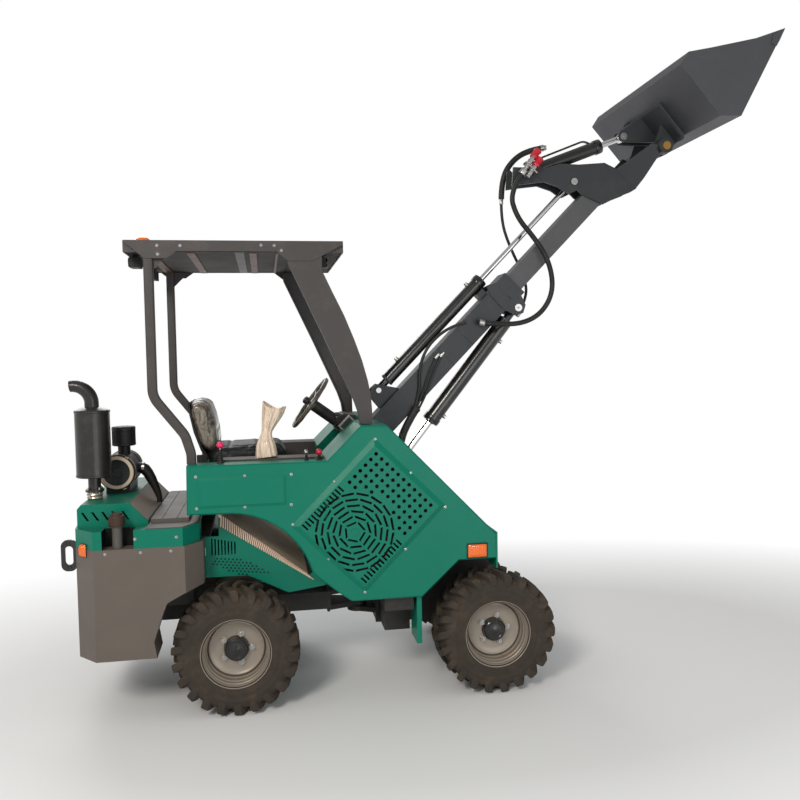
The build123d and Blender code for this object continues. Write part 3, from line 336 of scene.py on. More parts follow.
finishes = {
    "tyreRubber": dict(colour=(58, 51, 44), rough=0.85, grain=0.35, grainScale=260, tone=0.5, toneScale=14,
                       dust=0.35, patches=0.4, dustColour=(112, 94, 74), shade=0.6),
    "rimSilver": dict(colour=(150, 140, 128), rough=0.42, metal=0.35, tone=0.3, dust=0.25, patches=0.35,
                      dustColour=(128, 108, 84)),
    "greenPaint": dict(colour=(0, 112, 90), rough=0.38, gloss=0.22, tone=0.1, grain=0.03, grainScale=700,
                       wear=0.25, wearColour=(26, 112, 92), wearRadius=0.002, dust=0.03, patches=0.01),
    "warmGreyPaint": dict(colour=(96, 87, 80), rough=0.5, coat=0.1, tone=0.12, grain=0.05, wear=0.4,
                          wearColour=(132, 120, 108), dust=0.15, patches=0.06, dustColour=(160, 144, 128)),
    # a lighter copy of the warm grey paint: painted light where the hood's slope faces the light
    "slopeGreyPaintedLit": dict(colour=(142, 128, 114), rough=0.5, coat=0.1, tone=0.12, grain=0.05, wear=0.3,
                      wearColour=(160, 148, 136), dust=0.1, patches=0.06),
    # lighter than the plate's own paint: painted light standing in for the sunlight that reaches the foot
    # plate
    "tanPlatePaintedSun": dict(colour=(222, 192, 168), rough=0.6, tone=0.2, toneScale=10, grain=0.06, dust=0.15,
                     patches=0.1),
    "charcoalPaint": dict(colour=(64, 60, 59), rough=0.5, tone=0.12, grain=0.12, grainScale=900, wear=0.35,
                          wearColour=(128, 122, 118), dust=0.2),
    "deckGrey": dict(colour=(88, 84, 80), rough=0.55, tone=0.15, grain=0.1, grainScale=700, wear=0.3,
                     dust=0.12),
    # a dark brown for painted shade: a screen at the grille, a disc deep in the muffler's pipe, a sheet
    # behind the foot plate's comb, and the liner under the roof
    "paintedShadeBrown": dict(colour=(34, 27, 22), rough=0.7, tone=0.2, grain=0.15, grainScale=500, dust=0.0,
                       patches=0.03),
    "blackGloss": dict(colour=(22, 22, 22), rough=0.28, coat=0.5, tone=0.3, grain=0.04, dust=0.2,
                       patches=0.08, shade=0.6),
    "mufflerBlack": dict(colour=(34, 32, 31), rough=0.36, coat=0.25, tone=0.25, grain=0.12, grainScale=700,
                         dust=0.1, patches=0.08),
    "boomGrey": dict(colour=(46, 49, 51), rough=0.46, tone=0.2, grain=0.08, grainScale=500, wear=0.5,
                     wearColour=(110, 112, 114), dust=0.25, patches=0.08, dustColour=(130, 126, 118)),
    "boomPale": dict(colour=(78, 78, 80), rough=0.44, tone=0.2, grain=0.08, grainScale=500, wear=0.5,
                     wearColour=(128, 128, 128), dust=0.2, patches=0.08, dustColour=(130, 126, 118)),
    "bucketGrey": dict(colour=(70, 71, 75), rough=0.5, tone=0.25, toneScale=4, grain=0.1, grainScale=400,
                       wear=0.6, wearColour=(112, 112, 112), dust=0.2, patches=0.15,
                       dustColour=(104, 100, 96)),
    "chassisBlack": dict(colour=(34, 33, 32), rough=0.55, tone=0.3, grain=0.12, dust=0.3, patches=0.25,
                         splash=0.35, dustColour=(100, 88, 74), shade=0.6),
    "bareSteel": dict(colour=(178, 176, 172), rough=0.3, metal=0.9, tone=0.3, grain=0.06, dust=0.05),
    "weldSteel": dict(colour=(74, 76, 80), rough=0.45, metal=0.4, tone=0.5, toneScale=60, grain=0.5,
                      grainScale=300, dust=0.05),
    "foilSilver": dict(colour=(206, 194, 178), rough=0.3, metal=0.85, tone=0.6, toneScale=40, grain=0.9,
                       grainScale=90, dust=0.0, patches=0.1, dustColour=(140, 100, 60)),
    "chromeRod": dict(colour=(214, 214, 214), rough=0.12, metal=1.0, tone=0.1, grain=0.0, dust=0.0,
                      patches=0.0),
    "brassEnd": dict(colour=(196, 150, 84), rough=0.35, metal=0.9, tone=0.3, grain=0.06, dust=0.05),
    # near-black for painted shade: the walls of the notch behind the filler and the discs that stand for the
    # guard's perforations
    "paintedShadeBlack": dict(colour=(10, 14, 13), rough=0.6, gloss=0.2, tone=0.2, grain=0.1, dust=0.0,
                       patches=0.02),
    "bandBeige": dict(colour=(198, 180, 156), rough=0.4, metal=0.3, tone=0.25, toneScale=20, grain=0.1,
                      dust=0.1),
    "copperShade": dict(colour=(92, 50, 22), rough=0.5, metal=0.2, tone=0.35, toneScale=8, grain=0.1,
                        dust=0.0, patches=0.0),
    "panelGrey": dict(colour=(122, 122, 118), rough=0.5, tone=0.15, grain=0.08, dust=0.1),
    "darkPlastic": dict(colour=(28, 28, 29), rough=0.5, tone=0.3, grain=0.3, grainScale=1400, dust=0.2,
                        shade=0.6),
    "capBrown": dict(colour=(58, 40, 30), rough=0.5, tone=0.3, grain=0.25, grainScale=900, dust=0.2),
    "hoseRubber": dict(colour=(26, 26, 26), rough=0.5, tone=0.3, grain=0.25, grainScale=900, dust=0.2,
                       shade=0.6),
    "redCap": dict(colour=(188, 20, 44), rough=0.35, coat=0.3, tone=0.2, grain=0.05, dust=0.05),
    "pinkKnob": dict(colour=(226, 30, 92), rough=0.3, coat=0.4, tone=0.1, grain=0.02, dust=0.03),
    "orangeLens": dict(colour=(236, 108, 12), rough=0.2, coat=0.7, tone=0.25, toneScale=30, grain=0.05,
                       dust=0.05),
    "lampGlass": dict(colour=(206, 210, 212), rough=0.12, metal=0.5, coat=0.8, tone=0.3, toneScale=50,
                      grain=0.2, grainScale=120, dust=0.05),
    "engineGrey": dict(colour=(84, 84, 82), rough=0.55, metal=0.3, tone=0.3, grain=0.3, dust=0.3),
}
made = {name: worked(name, **values) for name, values in finishes.items()}
# each film's second colour is a painted highlight on its creases
made["seatFilm"] = filmed("seatFilm", (34, 29, 24), (164, 152, 136), 15, 0.1, 0.3, 0.6, 0.6)
made["seatVinyl"] = filmed("seatVinyl", (8, 14, 14), (44, 50, 48), 16, 0.05, 0.5, 0.35, 0.1)
made["paleFilm"] = filmed("paleFilm", (206, 178, 152), (236, 216, 196), 22, 0.5, 0.38, 0.6, 0.6)
made["darkFilm"] = filmed("darkFilm", (30, 27, 23), (112, 104, 88), 30, 0.3, 0.34, 0.4, 0.5)

nodeFinish = {
    "tyre_": "tyreRubber", "rim_": "rimSilver", "front_axle": "chassisBlack", "rear_axle": "chassisBlack",
    "front_chassis": "chassisBlack", "frame_pins": "bareSteel", "hump": "greenPaint",
    "side_rails": "greenPaint", "side_panels": "greenPaint", "seat_box": "charcoalPaint",
    "foot_guard": "greenPaint", "foot_plate": "tanPlatePaintedSun", "seat": "seatVinyl",
    "steering_column": "darkPlastic", "steering_wheel": "darkFilm", "joystick": "paleFilm",
    "levers": "redCap", "canopy_posts": "charcoalPaint", "canopy_roof": "charcoalPaint",
    "beacon": "orangeLens", "work_lamps": "darkPlastic", "front_plates": "greenPaint",
    "marker_lamps": "orangeLens", "belly_tank": "chassisBlack", "rear_chassis": "chassisBlack",
    "engine": "engineGrey", "rear_weights": "warmGreyPaint", "hood": "greenPaint", "deck": "deckGrey",
    "muffler": "mufflerBlack", "air_cleaner": "darkPlastic", "intake_hose": "hoseRubber",
    "filler": "capBrown", "rear_lamps": "orangeLens", "tow_bracket": "chassisBlack",
    "outer_boom": "boomGrey", "boom_pins": "bareSteel", "lift_barrel": "blackGloss", "lift_rod": "chromeRod",
    "extend_barrel": "blackGloss", "extend_rod": "chromeRod", "inner_boom": "boomPale",
    "boom_head": "boomGrey", "head_pins": "brassEnd", "tilt_barrel": "blackGloss", "tilt_rod": "chromeRod",
    "coupler": "boomGrey", "bucket": "bucketGrey", "quick_couplings": "bareSteel",
    "boom_hoses": "hoseRubber", "loop_hose": "hoseRubber", "thin_hose": "hoseRubber",
    "sleeve_hose": "hoseRubber",
}
for nodeName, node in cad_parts.items():
    finish = nodeFinish.get(nodeName) or nodeFinish[nodeName[:nodeName.index("_") + 1]]
    for slot in node.material_slots:
        slot.material = made[finish]
for line in hoses.values():
    line.data.materials.append(made["hoseRubber"])
print("node materials set")


sides = (("Right", -1), ("Left", 1))
skyward = (0, 0, 1)
upright = Matrix.Rotation(math.radians(90), 4, "X")  # stands a flat outline up, so that its Y becomes Z
machineZero = Matrix.Translation(place(0, 0, 0))
faceOut = machineZero @ upright  # outlines in machine X and Z, going out to the right flank


def spaceOf(start, xAxis, yAxis, zAxis):
    return Matrix.Translation(start) @ Matrix((xAxis, yAxis, zAxis)).transposed().to_4x4()


def axisFrame(start, direction):  # a matrix at start whose Z runs along the direction
    zAxis = Vector(direction).normalized()
    side = Vector((0, 1, 0)) if abs(zAxis.y) < 0.9 else Vector((1, 0, 0))
    xAxis = side.cross(zAxis).normalized()
    yAxis = zAxis.cross(xAxis)
    return spaceOf(start, xAxis, yAxis, zAxis)


def across(side, near, far):  # a range of Y on one side of the machine's middle, its low end first
    return sorted((side * near, side * far))


def rectangle(left, low, right, high):
    return [(left, low), (right, low), (right, high), (left, high)]


def circle(x, z, radius, steps=10):
    angles = [2 * math.pi * step / steps for step in range(steps)]
    return [(x + radius * math.cos(angle), z + radius * math.sin(angle)) for angle in angles]


def ringOf(space, radius, along, steps):  # corners around a frame's Z
    return [space @ Vector((x / 1000, y / 1000, along / 1000)) for x, y in circle(0, 0, radius, steps)]


def bands(rings, steps):  # the faces between rings of as many corners
    faces = []
    for ring in range(rings - 1):
        here, above = ring * steps, (ring + 1) * steps
        for step in range(steps):
            ahead = (step + 1) % steps
            faces.append((here + step, here + ahead, above + ahead, above + step))
    return faces


def turned(profile, start, direction, steps=40):  # (along, radius) pairs in millimetres, turned about a line
    space = axisFrame(start, direction)
    corners = [corner for along, radius in profile for corner in ringOf(space, radius, along, steps)]
    return corners, bands(len(profile), steps)


# a closed outline in millimetres, in a frame, from low to high along its Z
def prism(outline, space, low, high):
    count = len(outline)
    corners = [space @ Vector((x / 1000, y / 1000, level / 1000))
               for level in (low, high) for x, y in outline]
    faces = [tuple(range(count))[::-1], tuple(range(count, 2 * count))]
    faces += [(i, (i + 1) % count, count + (i + 1) % count, count + i) for i in range(count)]
    return corners, faces


def slab(xRange, yRange, zRange):
    return prism(rectangle(xRange[0], yRange[0], xRange[1], yRange[1]), machineZero, *zRange)


def hexagon(space, flats, low, high):
    return prism(circle(0, 0, flats / math.sqrt(3), 6), space, low, high)


def swept(points, radii, steps=28):  # rings square to a line of points in metres, radii in millimetres
    corners = []
    previous = None
    for index, (point, radius) in enumerate(zip(points, radii)):
        before, after = points[max(index - 1, 0)], points[min(index + 1, len(points) - 1)]
        run = after - before
        if run.length < 1e-9:
            run = previous
        previous = run
        corners += ringOf(axisFrame(point, run), radius, 0, steps)
    return corners, bands(len(points), steps)


def assemble(name, shapes, finish, body, bevel=0.0, angle=32, nodes=()):
    work = bmesh.new()
    for corners, faces in shapes:
        vertices = [work.verts.new(corner) for corner in corners]
        for face in faces:
            work.faces.new([vertices[i] for i in face])
    bmesh.ops.remove_doubles(work, verts=work.verts, dist=2e-6)
    bmesh.ops.recalc_face_normals(work, faces=work.faces)
    mesh = bpy.data.meshes.new(name)
    work.to_mesh(mesh)
    work.free()
    for face in mesh.polygons:
        face.use_smooth = True
    mesh.set_sharp_from_angle(angle=math.radians(angle))
    mesh.materials.append(made[finish])
    piece = bpy.data.objects.new(name, mesh)
    bpy.context.collection.objects.link(piece)
    if bevel:
        edge = piece.modifiers.new("softEdge", "BEVEL")
        edge.width, edge.segments, edge.limit_method = bevel / 1000, 2, "ANGLE"
        edge.angle_limit = math.radians(35)
        edge.harden_normals = True
    if nodes:
        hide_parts(*nodes)
    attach(piece, body)
    return piece


def mirrored(shapes):
    return [([Vector((c.x, -c.y, c.z)) for c in corners], faces) for corners, faces in shapes]


# the lug's columns: out at the top, radius there, out at the foot, radius there, turn in degrees,
# half its width on top and at the foot
tyre = dict(lugs=22, steps=132,
            carcass=[(98, 153), (103.4, 158), (104.5, 165), (103.6, 169), (105.6, 175), (105.4, 183),
                     (107, 187), (107, 191), (105.4, 195), (105.6, 213), (107.2, 217), (107.2, 221),
                     (105.4, 225), (103.6, 238), (98, 252), (90, 261), (70, 268.5), (35, 272.5), (0, 273.5)],
            lug=[(3, 294, 3, 268, 0, 9, 14), (36, 295, 36, 266, 2.1, 11.5, 17),
                 (70, 295, 68, 260, 5.2, 14, 20), (92, 292.5, 84, 252, 7.6, 16.5, 22),
                 (102, 285, 92, 244, 8.8, 17.5, 23), (106.6, 270, 97, 238, 9.5, 16.5, 22),
                 (107.4, 252, 100, 234, 9.9, 14, 19), (106.4, 238, 102, 232, 10.1, 9, 14)])


def tyreShapes():
    half = tyre["carcass"]
    ring = [(-out, radius) for out, radius in half] + half[-2::-1] + [(-half[0][0], half[0][1])]
    shapes = [turned(ring, Vector((0, 0, 0)), (0, 1, 0), tyre["steps"])]
    for side, stagger in ((-1, 0.0), (1, 0.5)):
        for number in range(tyre["lugs"]):
            base = 2 * math.pi * (number + stagger) / tyre["lugs"]
            corners = []
            for outTop, radiusTop, outFoot, radiusFoot, turn, halfTop, halfFoot in tyre["lug"]:
                for out, radius, reach in ((outFoot, radiusFoot, -halfFoot), (outTop, radiusTop, -halfTop),
                                           (outTop, radiusTop, halfTop), (outFoot, radiusFoot, halfFoot)):
                    angle = base + math.radians(turn) + reach / radius
                    corner = Vector((radius * math.sin(angle), side * out, radius * math.cos(angle)))
                    corners.append(corner / 1000)
            faces = bands(len(tyre["lug"]), 4)
            faces += [(0, 1, 2, 3), tuple(len(corners) - 4 + i for i in (3, 2, 1, 0))]
            shapes.append((corners, faces))
    return shapes


wheel = dict(studs=5, studCircle=71,
             barrel=[(-104, 160), (-104.4, 162), (-99, 162.3), (-98, 153), (98, 153), (99, 162.3),
                     (104.4, 162), (104, 159.5), (101, 156), (97.5, 153), (93, 150.5), (86, 149.5),
                     (83, 149), (80, 145.5), (62, 144.5), (58, 140.5), (34, 139.5), (28, 135), (10, 133.5),
                     (-20, 133.5), (-60, 144), (-92, 149.5), (-104, 160)],
             disc=[(2, 133.5), (12, 133), (20, 131), (24.5, 127.5), (25.5, 123), (23.5, 118.5), (19.5, 112),
                   (18, 90), (17.5, 60), (14, 56), (8, 56), (8, 120), (2, 133.5)],
             hub=[(14, 55), (18, 56.5), (24, 56.5), (40, 54.5), (46, 52), (50, 47), (50, 40), (47.5, 37),
                  (47.5, 12), (49, 9), (49, 0)],
             stud=[(17, 7.5), (36, 7.5), (38, 5.5), (38, 0)],
             washer=[(17.5, 15), (20.5, 15), (20.5, 7)], nutAcross=24)


def wheelShapes(side):
    outwards = (0, side, 0)
    middle = Vector((0, 0, 0))
    metal = [turned(wheel["barrel"], middle, outwards, 96), turned(wheel["disc"], middle, outwards, 96)]
    nuts = []
    for number in range(wheel["studs"]):
        angle = 2 * math.pi * (number + 0.15) / wheel["studs"]
        at = Vector((wheel["studCircle"] * math.sin(angle), 0, wheel["studCircle"] * math.cos(angle))) / 1000
        nuts += [turned(wheel["stud"], at, outwards, 16), turned(wheel["washer"], at, outwards, 20),
                 hexagon(axisFrame(at, outwards), wheel["nutAcross"], 20, 31)]
    return metal, nuts, [turned(wheel["hub"], middle, outwards, 64)]


rubber = tyreShapes()
axles = dict(rear=dict(x=0, turn=7), front=dict(x=1245, turn=2))  # each with the turn its tyres rest at
wheelAt = dict(y=440, z=295)
for end, axle in axles.items():
    for sideName, side in sides:
        where = end + "_" + sideName.lower()
        body = "wheel_" + where
        centre = place(axle["x"], side * wheelAt["y"], wheelAt["z"])
        metal, nuts, hub = wheelShapes(side)
        turn = Matrix.Rotation(math.radians(axle["turn"]), 4, "Y")
        pieces = [("tyreRound_", rubber, "tyreRubber", 1.6, ("tyre_" + where,)),
                  ("rimRound_", metal, "rimSilver", 0, ("rim_" + where,)),
                  ("studs_", nuts, "bareSteel", 0.6, ()), ("hubCap_", hub, "blackGloss", 0, ())]
        for label, shapes, finish, bevel, nodes in pieces:
            moved = [([centre + turn @ corner for corner in corners], faces) for corners, faces in shapes]
            assemble(label + where, moved, finish, body, bevel, nodes=nodes, angle=28)
print("wheels made")


screw = dict(head=[(0, 7), (1, 7), (1, 5.6), (3, 5), (4, 3.4), (4, 2), (1.8, 1.8), (1.8, 0)],
             panel=[(60, 1115), (271, 1113), (58, 972), (268, 973), (469, 1071), (663, 1261), (273, 879),
                    (435, 711), (602, 542), (798, 736), (993, 928), (829, 1096), (-157, 1118), (-157, 974)],
             weight=[(-408, 788), (-276, 788), (-560, 788)], band=[(-430, 850), (-250, 850)], flank=532)


def inside(point, outline):  # whether a point lies in a convex outline
    edges = zip(outline, outline[1:] + outline[:1])
    turns = [(b[0] - a[0]) * (point[1] - a[1]) - (b[1] - a[1]) * (point[0] - a[0]) for a, b in edges]
    return all(turn > 0 for turn in turns) or all(turn < 0 for turn in turns)


def screws(places, y):  # button heads on both flanks of the machine, y the face's distance from the middle
    shapes = [turned(screw["head"], place(x, -y, z), (0, -1, 0), 18) for x, z in places]
    return shapes + mirrored(shapes)


assemble("panelScrews", screws(screw["panel"], screw["flank"]), "bareSteel", "front_frame")
weightScrews = screws(screw["weight"], screw["flank"]) + screws(screw["band"], screw["flank"])
assemble("weightScrews", weightScrews, "bareSteel", "rear_frame")

# a dark screen, painted shade standing in for the hood's shadowed inside, and the fan's blades show through
# the punched grille
grille = dict(x=630, z=904, y=486, slant=45.3, half=(252, 208))
fan = dict(back=102.6, y=498, radius=196, blades=9, hub=44, lean=28)  # back along the grille from its middle
fan["x"] = grille["x"] - fan["back"] * math.cos(math.radians(grille["slant"]))
fan["z"] = grille["z"] - fan["back"] * math.sin(math.radians(grille["slant"]))
bladeOutline = [(-26, fan["hub"]), (26, fan["hub"]), (48, fan["radius"] - 12), (-12, fan["radius"])]
hubProfile = [(-8, 0), (-8, fan["hub"]), (10, fan["hub"]), (14, fan["hub"] - 8), (14, 0)]
for sideName, side in sides:
    middle = Matrix.Translation(place(grille["x"], side * grille["y"], grille["z"]))
    slanted = middle @ Matrix.Rotation(math.radians(-grille["slant"]), 4, "Y")
    flat = slanted @ Matrix.Rotation(math.radians(90 * side), 4, "X")
    wide, high = grille["half"]
    shadeScreen = prism(rectangle(-wide, -high, wide, high), flat, -3, 0)
    blades = []
    hub = place(fan["x"], side * fan["y"], fan["z"])
    for number in range(fan["blades"]):
        spin = Matrix.Translation(hub) @ Matrix.Rotation(2 * math.pi * number / fan["blades"], 4, "Y")
        lean = spin @ Matrix.Rotation(math.radians(fan["lean"]), 4, "Z")
        blades.append(prism(bladeOutline, lean @ upright, -1, 1.5))
    blades.append(turned(hubProfile, hub, (0, side, 0), 36))
    assemble("grilleShadeScreen" + sideName, [shadeScreen], "paintedShadeBrown", "front_frame")
    assemble("fanBlades" + sideName, blades, "darkPlastic", "front_frame", 0.8)

# the slope before the deck, the deck's folds, and the liner under the roof
slope = dict(low=(-388, 907.5), high=(-467, 992.5), half=404, thick=2.2)
run = Vector((slope["high"][0] - slope["low"][0], 0, slope["high"][1] - slope["low"][1]))
acrossAxis = Vector((0, 1, 0))
slopeFoot = place(slope["low"][0], 0, slope["low"][1])
slopeSpace = spaceOf(slopeFoot, run.normalized(), acrossAxis, run.normalized().cross(acrossAxis))
slopeSide = 1 if (slopeSpace.to_3x3() @ Vector(skyward)).z > 0 else -1
slopeHeights = sorted((0, slopeSide * slope["thick"]))
slopeOutline = rectangle(2, -slope["half"], run.length - 2, slope["half"])
# the slope's lighter grey is painted light on the warm grey paint
assemble("hoodSlope", [prism(slopeOutline, slopeSpace, *slopeHeights)], "slopeGreyPaintedLit", "rear_frame", 1.0)
fold = dict(x=(-330, -262), wide=5, y=(-392, 392), z=(912, 914.5))
deckFolds = [slab((x, x + fold["wide"]), fold["y"], fold["z"]) for x in fold["x"]]
assemble("deckFolds", deckFolds, "deckGrey", "rear_frame", 0.8)
roof = dict(linerX=(-443, 531), linerY=(-441, 441), linerZ=(2138, 2141), top=2188,
            boltX=(-400, -40, 320, 500), boltY=420, hemX=(-451.5, 539.5), hemY=448.2512, hemHalf=1.2,
            hemZ=(2135.5, 2141))
# a liner under the roof; its dark brown is partly painted shade and a painted reflection of the brown ground
assemble("roofLiner", [slab(roof["linerX"], roof["linerY"], roof["linerZ"])], "paintedShadeBrown", "front_frame",
         0.8)
boltPlaces = [place(x, side * roof["boltY"], roof["top"]) for x in roof["boltX"] for side in (-1, 1)]
assemble("roofBolts", [turned(screw["head"], at, skyward, 16) for at in boltPlaces], "bareSteel",
         "front_frame")
hemY = (roof["hemY"] - roof["hemHalf"], roof["hemY"] + roof["hemHalf"])
hems = [slab(roof["hemX"], across(side, *hemY), roof["hemZ"]) for side in (-1, 1)]
assemble("roofHem", hems, "charcoalPaint", "front_frame")
print("panels, grille and roof dressed")

muffler = dict(at=(-649, -250),
               body=[(1100, 30), (1100, 72), (1101, 79), (1104, 81.8), (1111, 81.8), (1113, 80),
                     (1118, 79.6), (1402, 79.6), (1406, 80), (1408, 81.8), (1414, 81.8), (1417, 79),
                     (1420, 70), (1426, 58), (1430, 45), (1433, 34), (1433, 30)],
               neck=[(1040, 29), (1100, 29)],
               flange=[(1030, 30), (1030, 42.5), (1040.5, 42.5), (1040.5, 30)],
               foil=[(996, 33), (1000, 37), (1008, 33), (1016, 38), (1024, 34), (1030, 36)],
               elbow=dict(start=1418, top=1451, radius=82, turn=99, pipe=(32.5, 27), wall=3, steps=18),
               bolts=dict(number=4, circle=36.5, seat=1040.5, flats=11, nut=(0, 6),
                          shank=[(-18, 4), (11, 4), (12, 0)]))
foot = place(*muffler["at"], 0)
mufflerShapes = [turned(muffler["body"], foot, skyward, 72), turned(muffler["neck"], foot, skyward),
                 turned(muffler["flange"], foot, skyward, 48)]
elbow = muffler["elbow"]
line, radii = [foot + Vector((0, 0, elbow["start"] / 1000))], [elbow["pipe"][0]]
for step in range(elbow["steps"] + 1):
    share = step / elbow["steps"]
    angle = math.radians(elbow["turn"]) * share
    back, rise = elbow["radius"] * (1 - math.cos(angle)) / 1000, elbow["radius"] * math.sin(angle) / 1000
    line.append(foot + Vector((-back, 0, elbow["top"] / 1000 + rise)))
    radii.append(elbow["pipe"][0] + (elbow["pipe"][1] - elbow["pipe"][0]) * share ** 2)
outwards = (line[-1] - line[-2]).normalized()
mouth = elbow["pipe"][1]
bore = mouth - elbow["wall"]
mufflerShapes += [swept(line, radii),
                  turned([(0, mouth), (1.5, mouth - 1.5), (0, bore), (-40, bore)], line[-1], outwards, 28)]
assemble("mufflerBody", mufflerShapes, "mufflerBlack", "rear_frame", nodes=("muffler",))
# a dark disc closing the bore: painted shade for the shadowed depth of the pipe
assemble("mufflerShadeDisc", [turned([(-38, bore), (-40, 0)], line[-1], outwards, 28)], "paintedShadeBrown",
         "rear_frame")
assemble("mufflerFoil", [turned(muffler["foil"], foot, skyward, 48)], "foilSilver", "rear_frame")
flangeBolts = []
bolts = muffler["bolts"]
for number in range(bolts["number"]):
    angle = 2 * math.pi * (number + 0.5) / bolts["number"]
    spot = foot + Vector((bolts["circle"] * math.cos(angle), bolts["circle"] * math.sin(angle),
                          bolts["seat"])) / 1000
    flangeBolts += [hexagon(Matrix.Translation(spot), bolts["flats"], *bolts["nut"]),
                    turned(bolts["shank"], spot, skyward, 12)]
assemble("flangeBolts", flangeBolts, "bareSteel", "rear_frame")

cleaner = dict(can=[(-150, 0), (-150, 24), (-147, 28), (-147, 60), (-150, 66), (-149, 82), (-144, 87.5),
                    (-132, 88), (-130, 84), (-126, 84), (-124, 87), (-96, 87), (-94, 84.5), (60, 84.5),
                    (62, 87), (120, 87), (124, 84), (146, 84), (150, 78), (150, 0)],
               band=[(-122, 85), (-122, 88.2), (-112, 88.2), (-112, 85)],
               ring=[(-149.4, 64), (-151, 66), (-151, 79), (-149.2, 81.5)], neck=[(1180, 30), (1226, 30)],
               ribs=[(1226, 30), (1226, 53), (1229, 57.4), (1237, 57.4), (1240, 54.5), (1300, 54.5),
                     (1303, 57.2), (1316, 57.2), (1321, 53), (1322, 44), (1322, 0)],
               stub=[(0, 27), (66, 27), (69.5, 27), (69.5, 20)], at=(-566, 1101), neckAt=(-540, -60),
               stubY=20, capRibs=24, rib=rectangle(54, -1.6, 56.6, 1.6), ribZ=(1240, 62),
               clip=rectangle(-9, -16, 9, 14), clipTurns=(35, 155, 275), clipAt=(0, -0.141, 0.0865),
               saddle=((-622, -508), (-118, 118), (995.3, 1036)))
canStart, canAxis = place(cleaner["at"][0], 0, cleaner["at"][1]), (0, 1, 0)
capFoot = place(*cleaner["neckAt"], 0)
stubStart = place(cleaner["neckAt"][0], cleaner["stubY"], cleaner["at"][1])
cleanerShapes = [turned(cleaner["can"], canStart, canAxis, 72),
                 turned(cleaner["neck"], capFoot, skyward, 32),
                 turned(cleaner["ribs"], capFoot, skyward, 60),
                 turned(cleaner["stub"], stubStart, (1, 0, 0), 32),
                 slab(*cleaner["saddle"])]
ribFoot = Matrix.Translation(capFoot + Vector((0, 0, cleaner["ribZ"][0] / 1000)))
for number in range(cleaner["capRibs"]):
    spin = Matrix.Rotation(2 * math.pi * number / cleaner["capRibs"], 4, "Z")
    cleanerShapes.append(prism(cleaner["rib"], ribFoot @ spin, 0, cleaner["ribZ"][1]))
assemble("cleanerCan", cleanerShapes, "darkPlastic", "rear_frame", nodes=("air_cleaner",))
canBands = [turned(cleaner[part], canStart, canAxis, 72) for part in ("band", "ring")]
assemble("cleanerBand", canBands, "bandBeige", "rear_frame")
clips = []
for turn in cleaner["clipTurns"]:
    spin = Matrix.Translation(canStart) @ Matrix.Rotation(math.radians(turn), 4, "Y")
    clips.append(prism(cleaner["clip"], spin @ Matrix.Translation(cleaner["clipAt"]), 0, 3.2))
assemble("cleanerClips", clips, "bareSteel", "rear_frame", 1.2)
# a moulded boot that tapers down to the hood's slope, in X, Z and radius
intake = dict(y=20, rib=0.9, clampX=-468, clamp=[(0, 25), (0, 29), (12, 29), (12, 25)],
              line=[(-472, 1101, 27), (-455, 1092, 27.5), (-440, 1072, 26.5), (-424, 1040, 24),
                    (-408, 1004, 20.5), (-394, 968, 16.5), (-387, 938, 14), (-388, 920, 12.5)])
boot = [place(x, intake["y"], z) for x, z, radius in intake["line"]]
bootRadii = [station[2] + (intake["rib"] if index % 2 else 0)
             for index, station in enumerate(intake["line"])]
assemble("intakeBoot", [swept(boot, bootRadii, 32)], "hoseRubber", "rear_frame", angle=60,
         nodes=("intake_hose",))
clampAt = place(intake["clampX"], intake["y"], cleaner["at"][1])
assemble("intakeClamp", [turned(intake["clamp"], clampAt, (1, 0, 0), 32)], "bareSteel", "rear_frame")

filler = dict(at=(-512, -490), grips=18, gripZ=(912, 946),
              neck=[(806.3, 22.5), (900, 22.5), (904, 25), (908, 25)],
              cap=[(906, 24), (906, 34), (909, 35.8), (948, 35.8), (952, 34), (955, 24), (964, 22),
                   (965, 18), (965, 0)])
fillerFoot = place(*filler["at"], 0)
assemble("fillerNeck", [turned(filler["neck"], fillerFoot, skyward, 32)], "deckGrey", "rear_frame",
         nodes=("filler",))
grips = []
for number in range(filler["grips"]):
    spin = Matrix.Rotation(2 * math.pi * number / filler["grips"], 4, "Z")
    grips.append(prism(rectangle(34.6, -2, 36, 2), Matrix.Translation(fillerFoot) @ spin, *filler["gripZ"]))
assemble("fillerTop", [turned(filler["cap"], fillerFoot, skyward, 48)] + grips, "capBrown", "rear_frame",
         0.5)
print("muffler, air cleaner and filler made")


# the foot plate's combed edge in the plate's painted-light tan, with a dark sheet behind its bars as painted
# shade, and dark discs on the guard below it, painted shade that stands for perforations
comb = dict(top=((-60, 903.5), (345, 591)), foot=((-64, 846), (372, 562)), pitch=12.4, bar=6, slope=0.77,
            backY=(332.3, 333.2), barY=(333.2, 337.5))
guard = dict(edgeX=(-139.6, -120.3), edgeY=(-330, -325), edgeZ=(602, 800), y=330.3, rows=7, columns=(-5, 16),
             row=(9, -15), step=(18.5, -2), start=(-104, 694), shadeDiscRadius=4.6,
             limit=((-110, 692), (-15, 706), (80, 660), (170, 607), (10, 606.5), (-110, 668)))
combShapes, combShadeBacks, shadeDiscs = [], [], []
combRun = [Vector(corner) for corner in (*comb["top"], *comb["foot"])]
bars = int((combRun[1] - combRun[0]).length / comb["pitch"])
for number in range(bars + 1):
    share = number / bars
    high = combRun[0].lerp(combRun[1], share)
    low = combRun[2].lerp(combRun[3], share)
    half = comb["bar"] / 2
    bar = [(high.x - half, high.y + half * comb["slope"]), (high.x + half, high.y - half * comb["slope"]),
           (low.x + half, low.y), (low.x - half, low.y)]
    combShapes.append(prism(bar, faceOut, *comb["barY"]))
combShadeBacks.append(prism([*comb["top"], *comb["foot"][::-1]], faceOut, *comb["backY"]))
